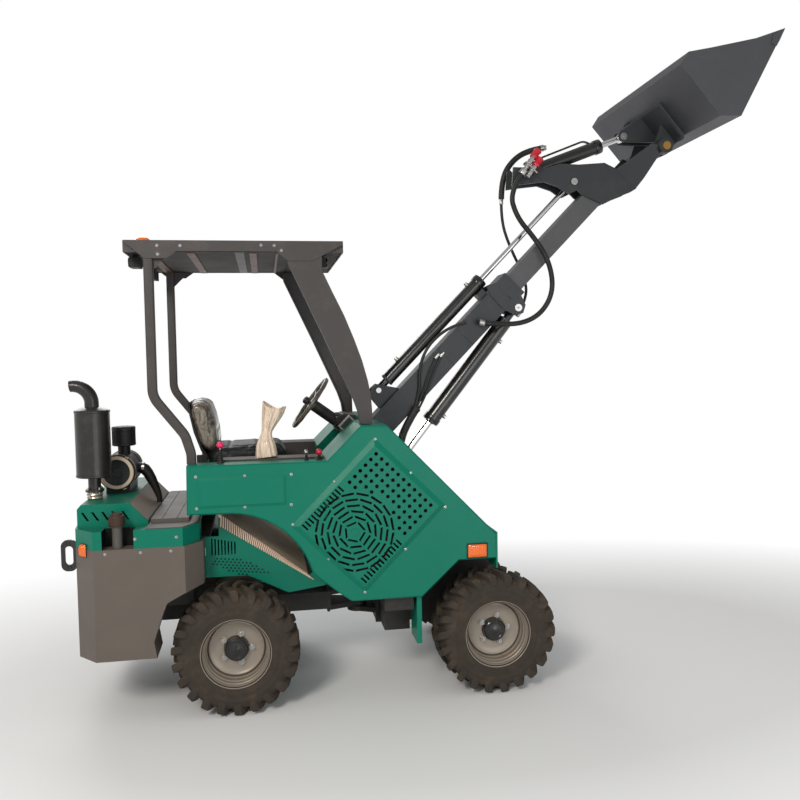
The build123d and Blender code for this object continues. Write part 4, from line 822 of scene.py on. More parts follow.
# flush dark discs, painted shade standing for the guard's perforations
for row in range(guard["rows"]):
    for column in range(*guard["columns"]):
        x = guard["start"][0] + guard["step"][0] * column + guard["row"][0] * row
        z = guard["start"][1] + guard["step"][1] * column + guard["row"][1] * row
        if inside((x, z), guard["limit"]):
            shadeDiscs.append(prism(circle(x, z, guard["shadeDiscRadius"]), faceOut, guard["y"] - 0.2, guard["y"] + 0.3))
assemble("footComb", combShapes + mirrored(combShapes), "tanPlatePaintedSun", "front_frame", 0.6)
assemble("footCombShadeBack", combShadeBacks + mirrored(combShadeBacks), "paintedShadeBrown", "front_frame")
assemble("guardHoleShadeDiscs", shadeDiscs + mirrored(shadeDiscs), "paintedShadeBlack", "front_frame")
guardEdges = [slab(guard["edgeX"], guard["edgeY"], guard["edgeZ"])]
assemble("guardEdges", guardEdges + mirrored(guardEdges), "greenPaint", "front_frame", 0.8)

# near-black sheets on the walls of the hood's notch behind the filler, painted shade in that recess, and the
# black lashing loops at the tail
notch = dict(x=(-572.6, -436.4), y=(-531, -448.4), z=(806.8, 889), sheet=0.8)
notchSides = [slab((notch["x"][0], notch["x"][0] + notch["sheet"]), notch["y"], notch["z"]),
              slab((notch["x"][1] - notch["sheet"], notch["x"][1]), notch["y"], notch["z"]),
              slab(notch["x"], (notch["y"][1] - 2 * notch["sheet"], notch["y"][1]), notch["z"])]
assemble("notchShadeSheets", notchSides, "paintedShadeBlack", "rear_frame")
lashing = dict(x=(-776, -705), z=(690, 835), bar=18, half=6, y=400, corner=30)


def roundedBox(xRange, zRange, radius, steps=6):
    points = []
    for cornerX, cornerZ, turn in ((xRange[1] - radius, zRange[1] - radius, 0),
                                   (xRange[0] + radius, zRange[1] - radius, 90),
                                   (xRange[0] + radius, zRange[0] + radius, 180),
                                   (xRange[1] - radius, zRange[0] + radius, 270)):
        for step in range(steps + 1):
            angle = math.radians(turn + 90 * step / steps)
            points.append((cornerX + radius * math.cos(angle), cornerZ + radius * math.sin(angle)))
    return points


def framePlate(outer, inner, yRange):  # a flat ring between two outlines with as many points
    count = len(outer)
    corners = [place(x, y, z) for y in yRange for outline in (outer, inner) for x, z in outline]
    faces = []
    for i in range(count):
        j = (i + 1) % count
        faces += [(i, j, count + j, count + i), (2 * count + i, 3 * count + i, 3 * count + j, 2 * count + j),
                  (i, 2 * count + i, 2 * count + j, j), (count + i, count + j, 3 * count + j, 3 * count + i)]
    return corners, faces


def narrowed(ends, wall):
    return ends[0] + wall, ends[1] - wall


outerLoop = roundedBox(lashing["x"], lashing["z"], lashing["corner"])
innerLoop = roundedBox(narrowed(lashing["x"], lashing["bar"]), narrowed(lashing["z"], 1.6 * lashing["bar"]),
                       lashing["corner"] * 0.6)
for sideName, side in sides:
    ends = across(side, lashing["y"] - lashing["half"], lashing["y"] + lashing["half"])
    assemble("lashingLoop" + sideName, [framePlate(outerLoop, innerLoop, ends)], "blackGloss", "rear_frame",
             2.5)


def cushion(name, outline, halfWidth, pullIn, body, finish, cap):
    # a closed pad: its side outline in millimetres, crowned across its width, pulled in between its corners
    middle = Vector((sum(p[0] for p in outline), sum(p[1] for p in outline))) / len(outline)
    rows = 13
    corners = []
    for row in range(rows):
        v = -1 + 2 * row / (rows - 1)
        edge = abs(v) ** 5
        for x, z in outline:
            around = Vector((x, z)) - middle
            shrink = 1 - pullIn - 0.2 * edge
            crown = 1 + 0.05 * (1 - v * v)
            spot = middle + around * shrink * crown
            wide = halfWidth * (0.965 - 0.02 * (1 - abs(around.normalized().x)))
            corners.append(place(spot.x, v * wide, spot.y))
    count = len(outline)
    faces = bands(rows, count) + [tuple(range(count))[::-1],
                                  tuple((rows - 1) * count + i for i in range(count))]
    pad = assemble(name, [(corners, faces)], finish, body, angle=180)
    soften = pad.modifiers.new("remesh", "REMESH")
    soften.mode, soften.voxel_size, soften.use_smooth_shade = "VOXEL", 0.0075, True
    bake(pad)
    inflate(pad, cap)
    return pad


def bake(piece):  # what the modifiers make becomes the piece's own mesh
    shown = bpy.data.meshes.new_from_object(piece.evaluated_get(bpy.context.evaluated_depsgraph_get()))
    piece.modifiers.clear()
    piece.data = shown
    for face in shown.polygons:
        face.use_smooth = True


def inflate(piece, cap):  # cloth under pressure, no point further than the cap from where it was
    start = [vertex.co.copy() for vertex in piece.data.vertices]
    cloth = piece.modifiers.new("cloth", "CLOTH")
    cloth.settings.quality = 4
    cloth.settings.use_pressure = True
    cloth.settings.uniform_pressure_force = 4
    cloth.settings.effector_weights.gravity = 0
    cloth.settings.tension_stiffness = 12
    cloth.settings.bending_stiffness = 1.5
    cloth.point_cache.frame_start, cloth.point_cache.frame_end = 1, 20
    for step in range(1, 21):
        bpy.context.scene.frame_set(step)
    ended = piece.evaluated_get(bpy.context.evaluated_depsgraph_get()).to_mesh()
    moved = [vertex.co.copy() for vertex in ended.vertices]
    piece.modifiers.clear()
    bpy.context.scene.frame_set(1)
    for vertex, before, after in zip(piece.data.vertices, start, moved):
        shift = after - before
        vertex.co = before + (shift * cap / shift.length if shift.length > cap else shift)


# channels pressed in along seams, each a function that gives the distance from it
def sewn(piece, seams, width, depth):
    normals = [vertex.normal.copy() for vertex in piece.data.vertices]
    for vertex, normal in zip(piece.data.vertices, normals):
        near = min(abs(seam(vertex.co)) for seam in seams)
        if near < width:
            vertex.co -= normal * depth * (1 + math.cos(math.pi * near / width)) / 2


def finishPad(piece, low, high):  # stays within its solid's box, then one more round of faces
    for vertex in piece.data.vertices:
        vertex.co = Vector(min(max(value, least), most) for value, least, most in zip(vertex.co, low, high))
    rounder = piece.modifiers.new("rounder", "SUBSURF")
    rounder.levels = rounder.render_levels = 1


seat = dict(base=[(-140, 1112), (-60, 1111), (60, 1111), (180, 1111), (258, 1113), (272, 1140), (272, 1180),
                  (250, 1210), (180, 1213), (60, 1207), (-60, 1205), (-130, 1205), (-155, 1172),
                  (-152, 1135)],
            back=[(-112, 1172), (-88, 1182), (-82, 1230), (-88, 1290), (-104, 1370), (-124, 1430),
                  (-140, 1453), (-170, 1459), (-203, 1450), (-208, 1426), (-196, 1376), (-180, 1308),
                  (-158, 1240), (-134, 1190)], half=(228, 212), cap=0.012, seamX=(-20, 120), seamY=0.15,
            seamAbove=1.17, backSeamY=0.13, backSeamZ=1.30, channel=(0.014, 0.006), fill=0.8,
            shell=[(-128, 1150), (-158, 1200), (-190, 1290), (-208, 1376), (-214.5, 1432), (-206, 1440),
                   (-198, 1380), (-180, 1300), (-150, 1215), (-116, 1160)], shellHalf=186,
            post=((-165, -95), (-60, 60), (1112, 1165)), railX=(-140, 250), railY=(158, 182),
            railZ=(1110.4, 1118))
lowest, highest = (Vector(corner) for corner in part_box("seat"))
baseCushion = cushion("seatCushion", seat["base"], seat["half"][0], 0.04, "front_frame", "seatVinyl",
                      seat["cap"])
backCushion = cushion("seatBack", seat["back"], seat["half"][1], 0.03, "front_frame", "seatFilm",
                      seat["cap"])
seamX = [place(x, 0, 0).x for x in seat["seamX"]]
baseSeams = [lambda at, x=x: at.x - x if at.z > seat["seamAbove"] else 1 for x in seamX]
baseSeams.append(lambda at: abs(at.y) - seat["seamY"] if at.z > seat["seamAbove"] else 1)
backSeams = [lambda at: abs(at.y) - seat["backSeamY"],
             lambda at: at.z - seat["backSeamZ"] if abs(at.y) < seat["backSeamY"] else 1]
sewn(baseCushion, baseSeams, *seat["channel"])
sewn(backCushion, backSeams, *seat["channel"])
for pad in (baseCushion, backCushion):
    finishPad(pad, lowest, highest)
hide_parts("seat")
shell = prism(seat["shell"], faceOut, -seat["shellHalf"], seat["shellHalf"])
assemble("seatShell", [shell, slab(*seat["post"])], "darkPlastic", "front_frame", 2.5)
rails = [slab(seat["railX"], across(side, *seat["railY"]), seat["railZ"]) for side in (-1, 1)]
assemble("seatRails", rails, "bareSteel", "front_frame", 1.0)
belt = dict(x=(-176, -124), y=(206, 222), z=(1112, 1182))
for sideName, side in sides:
    buckle = slab(belt["x"], across(side, *belt["y"]), belt["z"])
    assemble("beltAnchor" + sideName, [buckle], "darkPlastic", "front_frame", 3.0)
print("seat made")

steering = dict(at=(395, 0, 1411), rake=(-236, 0, 174), rim=146, grip=11, finger=0.8, around=72, section=16,
                spokes=3, hub=[(-26, 0), (-26, 30), (-10, 37), (-4, 37), (2, 30), (4, 0)],
                spoke=((28, -14), (60, -13), (100, -8), (146, 0)), spokeRadii=[9, 8, 7, 6.5],
                knobAt=(0, -141, 6),
                knob=[(0, 0), (0, 9), (14, 9), (18, 17), (30, 20), (40, 17), (44, 8), (44, 0)],
                bellows=[(0, 34), (6, 40), (12, 34), (18, 40), (24, 34), (30, 38), (36, 31)],
                bellowsBack=205)
steeringMiddle = place(*steering["at"])
wheelSpace = axisFrame(steeringMiddle, steering["rake"])
around, section = steering["around"], steering["section"]
ringCorners, ringFaces = [], []
for i in range(around):
    angle = 2 * math.pi * i / around
    for j in range(section):
        turn = 2 * math.pi * j / section
        notched = (i // 3) % 2 and math.cos(turn) < 0.2  # finger notches inside the rim
        grip = steering["grip"] + (steering["finger"] if notched else 0)
        reach = steering["rim"] + grip * math.cos(turn)
        corner = Vector((reach * math.cos(angle), reach * math.sin(angle), grip * math.sin(turn)))
        ringCorners.append(wheelSpace @ (corner / 1000))
        nextI, nextJ = (i + 1) % around, (j + 1) % section
        ringFaces.append((i * section + j, nextI * section + j, nextI * section + nextJ,
                          i * section + nextJ))
steeringShapes = [(ringCorners, ringFaces), turned(steering["hub"], steeringMiddle, steering["rake"], 40)]
for number in range(steering["spokes"]):
    angle = 2 * math.pi * number / steering["spokes"] + math.pi
    along = Vector((math.cos(angle), math.sin(angle), 0))
    line = [wheelSpace @ ((along * reach + Vector((0, 0, drop))) / 1000)
            for reach, drop in steering["spoke"]]
    steeringShapes.append(swept(line, steering["spokeRadii"], 12))
assemble("steeringRim", steeringShapes, "darkFilm", "front_frame", nodes=("steering_wheel",))
knobAt = wheelSpace @ (Vector(steering["knobAt"]) / 1000)
assemble("steeringKnob", [turned(steering["knob"], knobAt, steering["rake"], 28)], "darkPlastic",
         "front_frame")
rocker = dict(x=(528, 552), y=dict(A=-75, B=-40, C=40, D=75), half=9, z=(1338, 1352))
for label, y in rocker["y"].items():
    switch = slab(rocker["x"], (y - rocker["half"], y + rocker["half"]), rocker["z"])
    assemble("rocker" + label, [switch], "darkPlastic", "front_frame", 2.0)
pod = dict(at=(580, 1297), turn=45, size=80, frame=8, near=154, far=186, boxFar=182)
podTurn = Matrix.Rotation(math.radians(pod["turn"]), 4, "Y")
podSpace = Matrix.Translation(place(pod["at"][0], 0, pod["at"][1])) @ podTurn @ upright
podHalf, podOpen = pod["size"] / 2, pod["size"] / 2 - pod["frame"]
podOutline = rectangle(-podHalf, -podHalf, podHalf, podHalf)
podInner = rectangle(-podOpen, -podOpen, podOpen, podOpen)
assemble("instrumentPod", [prism(podInner, podSpace, pod["near"], pod["boxFar"])], "blackGloss",
         "front_frame", 2.0)
podBars = []
for i in range(4):
    j = (i + 1) % 4
    bar = [podOutline[i], podOutline[j], podInner[j], podInner[i]]
    podBars.append(prism(bar, podSpace, pod["near"], pod["far"]))
assemble("instrumentFrame", podBars, "panelGrey", "front_frame", 1.0)
gauge = dict(at=(530, 0, 1300), facing=(-115, 0, 66),
             bezel=[(0, 0), (0, 24), (5, 25), (7, 22), (5, 20), (5, 0)])
assemble("gaugeBezel", [turned(gauge["bezel"], place(*gauge["at"]), gauge["facing"], 40)], "bareSteel",
         "front_frame")
columnFoot = steeringMiddle - Vector(steering["rake"]).normalized() * (steering["bellowsBack"] / 1000)
assemble("columnBellows", [turned(steering["bellows"], columnFoot, steering["rake"], 36)], "hoseRubber",
         "front_frame")

joystick = dict(spine=[(162, -358, 1176.5), (160, -357, 1200), (158, -355, 1235), (160, -350, 1268),
                       (163, -346, 1290), (170, -343, 1320), (184, -340, 1360), (200, -338, 1400),
                       (206, -338, 1424)], radii=[50, 49, 45, 31, 20, 27, 41, 53, 56], steps=48,
                tie=[(-5, 19), (-5, 22.5), (5, 22.5), (5, 19)], tieAt=(163, -346, 1290),
                grip=[(162, -357, 1178), (163, -350, 1280), (176, -343, 1330), (190, -340, 1372),
                      (196, -339, 1400)], gripRadii=[16, 14, 20, 25, 18])
spine = [place(*point) for point in joystick["spine"]]
steps = joystick["steps"]
corners, faces = swept(spine, joystick["radii"], steps)
for index, corner in enumerate(corners):  # gathered folds run up the film, deepest at the tie
    ring, step = divmod(index, steps)
    angle = 2 * math.pi * step / steps
    fold = 0.0035 * math.sin(9 * angle + 0.6 * ring) + 0.0022 * math.sin(17 * angle + 1.7 + 0.3 * ring)
    away = corner - spine[ring]
    corners[index] = corner + away.normalized() * fold
for step in range(steps):  # the film's open top rises and falls
    lift = 0.012 * math.sin(4 * math.pi * step / steps + 2.2) - 0.004
    corners[step - steps] = corners[step - steps] + Vector((0, 0, lift))
bag = assemble("joystickFilm", [(corners, faces)], "paleFilm", "front_frame", angle=180, nodes=("joystick",))
thick = bag.modifiers.new("film", "SOLIDIFY")
thick.thickness, thick.offset = 0.0008, -1
rounder = bag.modifiers.new("rounder", "SUBSURF")
rounder.levels = rounder.render_levels = 1
grip = swept([place(*point) for point in joystick["grip"]], joystick["gripRadii"], 24)
assemble("joystickGrip", [grip], "darkPlastic", "front_frame", angle=60)
tie = turned(joystick["tie"], place(*joystick["tieAt"]), skyward, 32)
assemble("joystickTie", [tie], "paleFilm", "front_frame")

# each lever's X, its boot's top, its knob's height, radius and finish
levers = dict(y=-460, foot=1168.4, pleats=5,
              boots=[(-50, 1232, 1252, 16, "pinkKnob"), (345, 1196, 1206, 11, "bareSteel"),
                     (405, 1192, 1204, 15, "redCap")])
boots, stems = [], []
for number, (x, bootTop, knobHeight, knobRadius, finish) in enumerate(levers["boots"]):
    low, pleats, leverFoot = levers["foot"], levers["pleats"], place(x, levers["y"], 0)
    rings = [(low, 0), (low, knobRadius + 0.8)]
    for step in range(pleats):
        height = low + 3 + (bootTop - low - 4) * step / pleats
        wide = knobRadius + 0.8 - (knobRadius - 6) * step / pleats
        rings += [(height, wide), (height + (bootTop - low - 4) / (2 * pleats), wide - 3.2)]
    rings += [(bootTop, 5.5), (bootTop, 0)]
    boots.append(turned(rings, leverFoot, skyward, 28))
    turns = [math.radians(-75 + 165 * step / 12) for step in range(13)]
    ball = [(knobHeight + knobRadius * math.sin(turn), knobRadius * math.cos(turn)) for turn in turns]
    stems.append(turned([(bootTop - 2, 4.5), (knobHeight - knobRadius, 4.5)], leverFoot, skyward, 16))
    assemble("leverKnob" + "ABC"[number], [turned(ball, leverFoot, skyward, 32)], finish, "front_frame",
             angle=50)
assemble("leverBoots", boots, "hoseRubber", "front_frame", nodes=("levers",))
assemble("leverStems", stems, "bareSteel", "front_frame")
print("controls made")


def rounded(points, radius, steps=8):  # a line of points whose corners are rounded off by arcs
    line = [Vector(points[0])]
    for before, corner, after in zip(points, points[1:], points[2:]):
        corner = Vector(corner)
        back, ahead = Vector(before) - corner, Vector(after) - corner
        inward, onward = back.normalized(), ahead.normalized()
        half = inward.angle(onward) / 2
        setback = min(radius / math.tan(half), back.length * 0.49, ahead.length * 0.49)
        size = setback * math.tan(half)
        centre = corner + (inward + onward).normalized() * size / math.sin(half)
        start, end = corner + inward * setback - centre, corner + onward * setback - centre
        for step in range(steps + 1):
            line.append(centre + start.lerp(end, step / steps).normalized() * size)
    line.append(Vector(points[-1]))
    return line


def bentBar(line, size, y, edge=7):  # a square tube with round edges along a line in X and Z, in millimetres
    half = size / 2
    section = []
    for turn, (u, v) in enumerate(((1, 1), (-1, 1), (-1, -1), (1, -1))):
        for step in range(4):
            angle = math.radians(90 * turn + 30 * step)
            section.append((u * (half - edge) + edge * math.cos(angle), v * (half - edge) + edge
                            * math.sin(angle)))
    count = len(section)
    corners = []
    for index, point in enumerate(line):
        before, after = line[max(index - 1, 0)], line[min(index + 1, len(line) - 1)]
        run = (after - before).normalized()
        for u, v in section:
            corners.append(place(point.x - run.y * u, y + v, point.y + run.x * u))
    ends = [tuple(range(count))[::-1], tuple(range((len(line) - 1) * count, len(line) * count))]
    return corners, bands(len(line), count) + ends


def inset(outline, distance):  # a closed outline moved inwards, its corners sharp
    area = sum(a[0] * b[1] - b[0] * a[1] for a, b in zip(outline, outline[1:] + outline[:1]))
    turn = 1 if area > 0 else -1
    moved = []
    for before, corner, after in zip(outline[-1:] + outline[:-1], outline, outline[1:] + outline[:1]):
        first = (Vector(corner) - Vector(before)).normalized()
        second = (Vector(after) - Vector(corner)).normalized()
        normals = [Vector((-run.y, run.x)) * turn for run in (first, second)]
        shift = (normals[0] + normals[1]) / (1 + normals[0].dot(normals[1]))
        moved.append(tuple(Vector(corner) + shift * distance))
    return moved


canopy = dict(size=42, half=440, bend=110, wall=5,
              rear=[(-181, 1168.3), (-181, 1215), (-206, 1301), (-344, 1481), (-344, 2134.7)],
              pillar=[(278, 2134.7), (440, 2134.7), (438, 2054), (484, 1954), (538, 1842), (582, 1732),
                      (618, 1630), (644, 1533), (656, 1470), (661, 1400), (662, 1328), (603, 1328),
                      (596, 1380), (576, 1440), (438, 1748), (282, 2086)],
              gusset=[(-330, 2134.7), (-245, 2134.7), (-330, 2050)])
rearPosts, pillars = [], []
barLine = rounded(canopy["rear"], canopy["bend"])
outer = canopy["half"] + canopy["size"] / 2
wallInside, lipEnd = outer - canopy["wall"], outer - canopy["size"]
pillarInner = inset(canopy["pillar"], canopy["wall"])
for side in (-1, 1):
    y = side * canopy["half"]
    rearPosts.append(bentBar(barLine, canopy["size"], y))
    rearPosts.append(prism(canopy["gusset"], faceOut, -y - 3, -y + 3))
    pillars.append(prism(canopy["pillar"], faceOut, *across(-side, wallInside, outer)))
    pillars.append(framePlate(canopy["pillar"], pillarInner, across(side, wallInside, lipEnd)))
assemble("rearPosts", rearPosts, "charcoalPaint", "front_frame", nodes=("canopy_posts",))
assemble("frontPillars", pillars, "charcoalPaint", "front_frame", 1.5)

# the roof's bolted side plates, with lobes over the posts, and the ribs that show under it
sidePlate = dict(outline=[(-446, 2187), (-446, 2178), (-357, 2106), (-262, 2106), (-216, 2138), (229, 2138),
                          (283, 2096), (396, 2096), (538, 2172), (538, 2187)], y=(461.4, 464.6),
                 screws=[(-301, 2163), (-299, 2124), (-200, 2163), (161, 2167), (221, 2166), (253, 2143)],
                 flangeX=(-446, 538), flangeY=(446, 464), flangeZ=(2184.6, 2187.8), ribY=(-440, 440),
                 ribZ=(2132, 2139), ribs=[(-366, -324), (-176, -140), (106, 140), (228, 240)])
plates = []
for side in (-1, 1):
    plates.append(prism(sidePlate["outline"], faceOut, *across(-side, *sidePlate["y"])))
    plates.append(slab(sidePlate["flangeX"], across(side, *sidePlate["flangeY"]), sidePlate["flangeZ"]))
assemble("roofSidePlates", plates, "charcoalPaint", "front_frame", 1.2)
assemble("roofSideScrews", screws(sidePlate["screws"], sidePlate["y"][1]), "bareSteel", "front_frame")
ribs = [slab(rib, sidePlate["ribY"], sidePlate["ribZ"]) for rib in sidePlate["ribs"]]
assemble("roofRibs", ribs, "copperShade", "front_frame", 1.0)

workLamp = dict(places=((447, 1), (-420, -1)), y=300, z=2104, half=(26, 43, 24), back=6, finX=(14, 27),
                finHigh=25, finPitch=18, stem=11, stemTop=2181, face=19.5, glassY=21,
                bezel=[(0, 23), (6, 23.5), (8, 22), (6, 20.5), (0, 20.5)],
                glass=[(0, 20.5), (2, 20), (4, 14), (5, 0)])
housings, glasses, bezels = [], [], []
halfX, halfY, halfZ = workLamp["half"]
stem, z = workLamp["stem"], workLamp["z"]
for x, facing in workLamp["places"]:
    for y in (-workLamp["y"], workLamp["y"]):
        depth = sorted((x - facing * halfX, x + facing * (halfX - workLamp["back"])))
        housings.append(slab(depth, (y - halfY, y + halfY), (z - halfZ, z + halfZ)))
        finDepth = sorted(x - facing * reach for reach in workLamp["finX"])
        for number in (-2, -1, 0, 1, 2):
            finY = y + workLamp["finPitch"] * number
            housings.append(slab(finDepth, (finY - 2, finY + 2),
                                 (z - workLamp["finHigh"], z + workLamp["finHigh"])))
        housings.append(slab((x - stem, x + stem), (y - stem, y + stem),
                             (z + halfZ - 1, workLamp["stemTop"])))
        for shift in (-workLamp["glassY"], workLamp["glassY"]):
            front = place(x + facing * workLamp["face"], y + shift, z)
            bezels.append(turned(workLamp["bezel"], front, (facing, 0, 0), 32))
            glasses.append(turned(workLamp["glass"], front, (facing, 0, 0), 32))
assemble("workLampHousings", housings, "darkPlastic", "front_frame", 2.2, nodes=("work_lamps",))
assemble("workLampBezels", bezels, "blackGloss", "front_frame")
assemble("workLampGlass", glasses, "lampGlass", "front_frame", angle=60)

beacon = dict(at=(-411, -100), ribs=24, ribZ=(2209, 2234),
              foot=[(2188.4, 0), (2188.4, 44.5), (2196, 44.5), (2199, 41), (2208, 40), (2208, 36)],
              dome=[(2207, 36.5), (2212, 37.6), (2232, 36.5), (2242, 33.5), (2248, 27), (2251, 16),
                    (2252, 0)])
beaconFoot = place(*beacon["at"], 0)
assemble("beaconFoot", [turned(beacon["foot"], beaconFoot, skyward, 48)], "darkPlastic", "front_frame",
         nodes=("beacon",))
domeRibs = []
for number in range(beacon["ribs"]):
    spin = Matrix.Rotation(2 * math.pi * number / beacon["ribs"], 4, "Z")
    domeRibs.append(prism(rectangle(34, -0.9, 38, 0.9), Matrix.Translation(beaconFoot) @ spin,
                          *beacon["ribZ"]))
assemble("beaconDome", [turned(beacon["dome"], beaconFoot, skyward, 48)] + domeRibs, "orangeLens",
         "front_frame", angle=50)


# a lens over a frame's XY, bulging along Z, its ribs along Y
def ribbedLens(space, width, height, bulge, ribs):
    columns, rows = ribs * 6, 8
    corners, faces = [], []
    for row in range(rows + 1):
        for column in range(columns + 1):
            u, v = 2 * column / columns - 1, 2 * row / rows - 1
            ripple = 0.86 + 0.14 * math.cos(math.pi * ribs * (u + 1))
            rise = bulge * (1 - abs(u) ** 6) * (1 - abs(v) ** 6) * ripple
            corners.append(space @ Vector((u * width / 2000, v * height / 2000, rise / 1000)))
    for row in range(rows):
        for column in range(columns):
            start = row * (columns + 1) + column
            faces.append((start, start + 1, start + columns + 2, start + columns + 1))
    return corners, faces


# lamps on the body's rear corners
tailLamp = dict(at=(-658.9, 481.6, 800), run=(-0.6657, -0.7462, 0), size=(45, 60), base=(0.4, 4),
                lensOut=0.0035, margin=3, bulge=16, ribs=5)
tailRun = Vector(tailLamp["run"])
tailOut = tailRun.cross(Vector(skyward))
tailSpace = spaceOf(place(*tailLamp["at"]), tailRun, Vector(skyward), tailOut)
lensSpace = tailSpace @ Matrix.Translation((0, 0, tailLamp["lensOut"]))
wide, high = tailLamp["size"]
tailBase = [prism(rectangle(-wide / 2, -high / 2, wide / 2, high / 2), tailSpace, *tailLamp["base"])]
tailLens = [ribbedLens(lensSpace, wide - tailLamp["margin"], high - tailLamp["margin"], tailLamp["bulge"],
                       tailLamp["ribs"])]
assemble("tailLampBases", tailBase + mirrored(tailBase), "darkPlastic", "rear_frame", 1.2,
         nodes=("rear_lamps",))
assemble("tailLampLenses", tailLens + mirrored(tailLens), "orangeLens", "rear_frame", angle=70)

marker = dict(x=(1096, 1199), z=(671, 745), y=(532.4, 537), lensY=536.5, lens=(92, 62, 10, 9))
markerFrames, markerLenses = [], []
for side in (-1, 1):
    markerFrames.append(slab(marker["x"], across(side, *marker["y"]), marker["z"]))
    middle = place(sum(marker["x"]) / 2, side * marker["lensY"], sum(marker["z"]) / 2)
    face = Matrix.Translation(middle) @ Matrix.Rotation(math.radians(-90 * side), 4, "X")
    markerLenses.append(ribbedLens(face, *marker["lens"]))
assemble("markerFrames", markerFrames, "darkPlastic", "front_frame", 1.5, nodes=("marker_lamps",))
assemble("markerLenses", markerLenses, "orangeLens", "front_frame", angle=70)
print("lamps made")


strapped = dict(side=62.3,
                runs={"boomBundle": (40, [(50, -182), (130, -122), (225, -86), (316, -68)]),
                      "boomBranchA": (16, [(310, -62), (392, -20), (462, 55), (560, 105), (665, 112),
                                           (765, 86), (826, 50)]),
                      "boomBranchB": (12, [(310, -73), (400, -38), (490, 10), (585, 39)]),
                      "boomBranchC": (12, [(310, -84), (395, -62), (505, -8), (610, 25)])})
for name, (diameter, route) in strapped["runs"].items():
    points = [onBoom(along, above, -strapped["side"] - diameter / 2) for along, above in route]
    line = roundLine(name, points, diameter, "boom")
    line.data.materials.append(made["hoseRubber"])
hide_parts("boom_hoses")
boomAxis = (math.cos(boomLine["angle"]), 0, math.sin(boomLine["angle"]))
boomRise = (-boomAxis[2], 0, boomAxis[0])
wrap = dict(y=-82.3, profile=[(-9, 20), (-9, 22.4), (9, 22.4), (9, 20)],
            at=((306, -70, boomAxis), (150, -113, (0.98, 0, 0.2))))
wraps = [turned(wrap["profile"], onBoom(along, above, wrap["y"]), direction, 32)
         for along, above, direction in wrap["at"]]
assemble("bundleWraps", wraps, "darkPlastic", "boom")
branchEnd = dict(y=-68.6, profile=[(-16, 6.5), (-16, 9.5), (4, 9.5), (4, 7.5), (14, 7.5), (14, 0)],
                 at=((588, 39), (613, 25)))
ends = [turned(branchEnd["profile"], onBoom(along, above, branchEnd["y"]), boomAxis, 20)
        for along, above in branchEnd["at"]]
assemble("branchFittings", ends, "bareSteel", "boom")

# hose fittings: a ferrule and a short taper, at the hoses' ends
# along in millimetres, radius as a share of the hose's diameter
fitting = dict(ferrule=[(0, 0.62), (0, 0.66), (4, 0.7), (26, 0.7), (29, 0.6), (29, 0.5)], length=26,
               sleeve=[(-20, 16.4), (-20, 18), (0, 18), (6, 14), (14, 14), (14, 0)],
               sleeveAt=(1860, 372, 90), sleeveToward=(0.8, -0.6))
ferrules = []
for name, at, toward in (("loop_hose", (1618, 379.2), (1, 0.137)), ("loop_hose", (872, 0), (-0.6, 0.9)),
                         ("thin_hose", (1484, 346), (0.73, 0.69)), ("thin_hose", (1089, -164), (-1, -0.15))):
    hose = freeHoses[name]
    start = onBoom(*at, hose["y"])
    direction = Vector(boomAxis) * toward[0] + Vector(boomRise) * toward[1]
    profile = [(along - fitting["length"], share * hose["diameter"]) for along, share in fitting["ferrule"]]
    ferrules.append(turned(profile, start, direction, 28))
assemble("hoseFerrules", ferrules, "bareSteel", "inner_boom")
sleeveAxis = Vector(boomAxis) * fitting["sleeveToward"][0] + Vector(boomRise) * fitting["sleeveToward"][1]
sleeveEnd = turned(fitting["sleeve"], onBoom(*fitting["sleeveAt"]), sleeveAxis, 28)
assemble("sleeveEnd", [sleeveEnd], "bareSteel", "inner_boom")

coupling = dict(y=-98, tilt=math.radians(7.9), bodies=[(1620.3, 379.4, 92), (1606, 342, 84)],
                plate=(1650, 320, 1658, 405), plateY=(62.3, 115),
                steel=[(0, 0), (0, 12.6), (8, 13), (10, 11), (14, 11), (16, 13), (34, 13), (36, 11.5),
                       (40, 11.5), (42, 13)],
                cap=[(-12, 12), (-12, 20), (-9, 21.5), (4, 21.5), (8, 19), (27, 19), (31, 22), (36, 22),
                     (40, 18), (40, 0)])
couplingAxis = Vector(boomAxis) * math.cos(coupling["tilt"]) + Vector(boomRise) * math.sin(coupling["tilt"])
steel, caps = [], []
for along, above, length in coupling["bodies"]:
    start = onBoom(along, above, coupling["y"])
    steel.append(turned(coupling["steel"] + [(length, 13), (length, 0)], start, couplingAxis, 36))
    steel.append(hexagon(axisFrame(start, couplingAxis), 27, length * 0.55, length * 0.55 + 14))
    caps.append(turned(coupling["cap"], start + couplingAxis * length / 1000, couplingAxis, 40))
plateCorners = [onBoom(along, above, 0) for along, above in rectangle(*coupling["plate"])]
outline = [((corner.x - plateCorners[0].x) * 1000, (corner.z - plateCorners[0].z) * 1000)
           for corner in plateCorners]
steel.append(prism(outline, Matrix.Translation(plateCorners[0]) @ upright, *coupling["plateY"]))
assemble("couplingBodies", steel, "bareSteel", "inner_boom", 0.8, nodes=("quick_couplings",))
assemble("couplingCaps", caps, "redCap", "inner_boom")

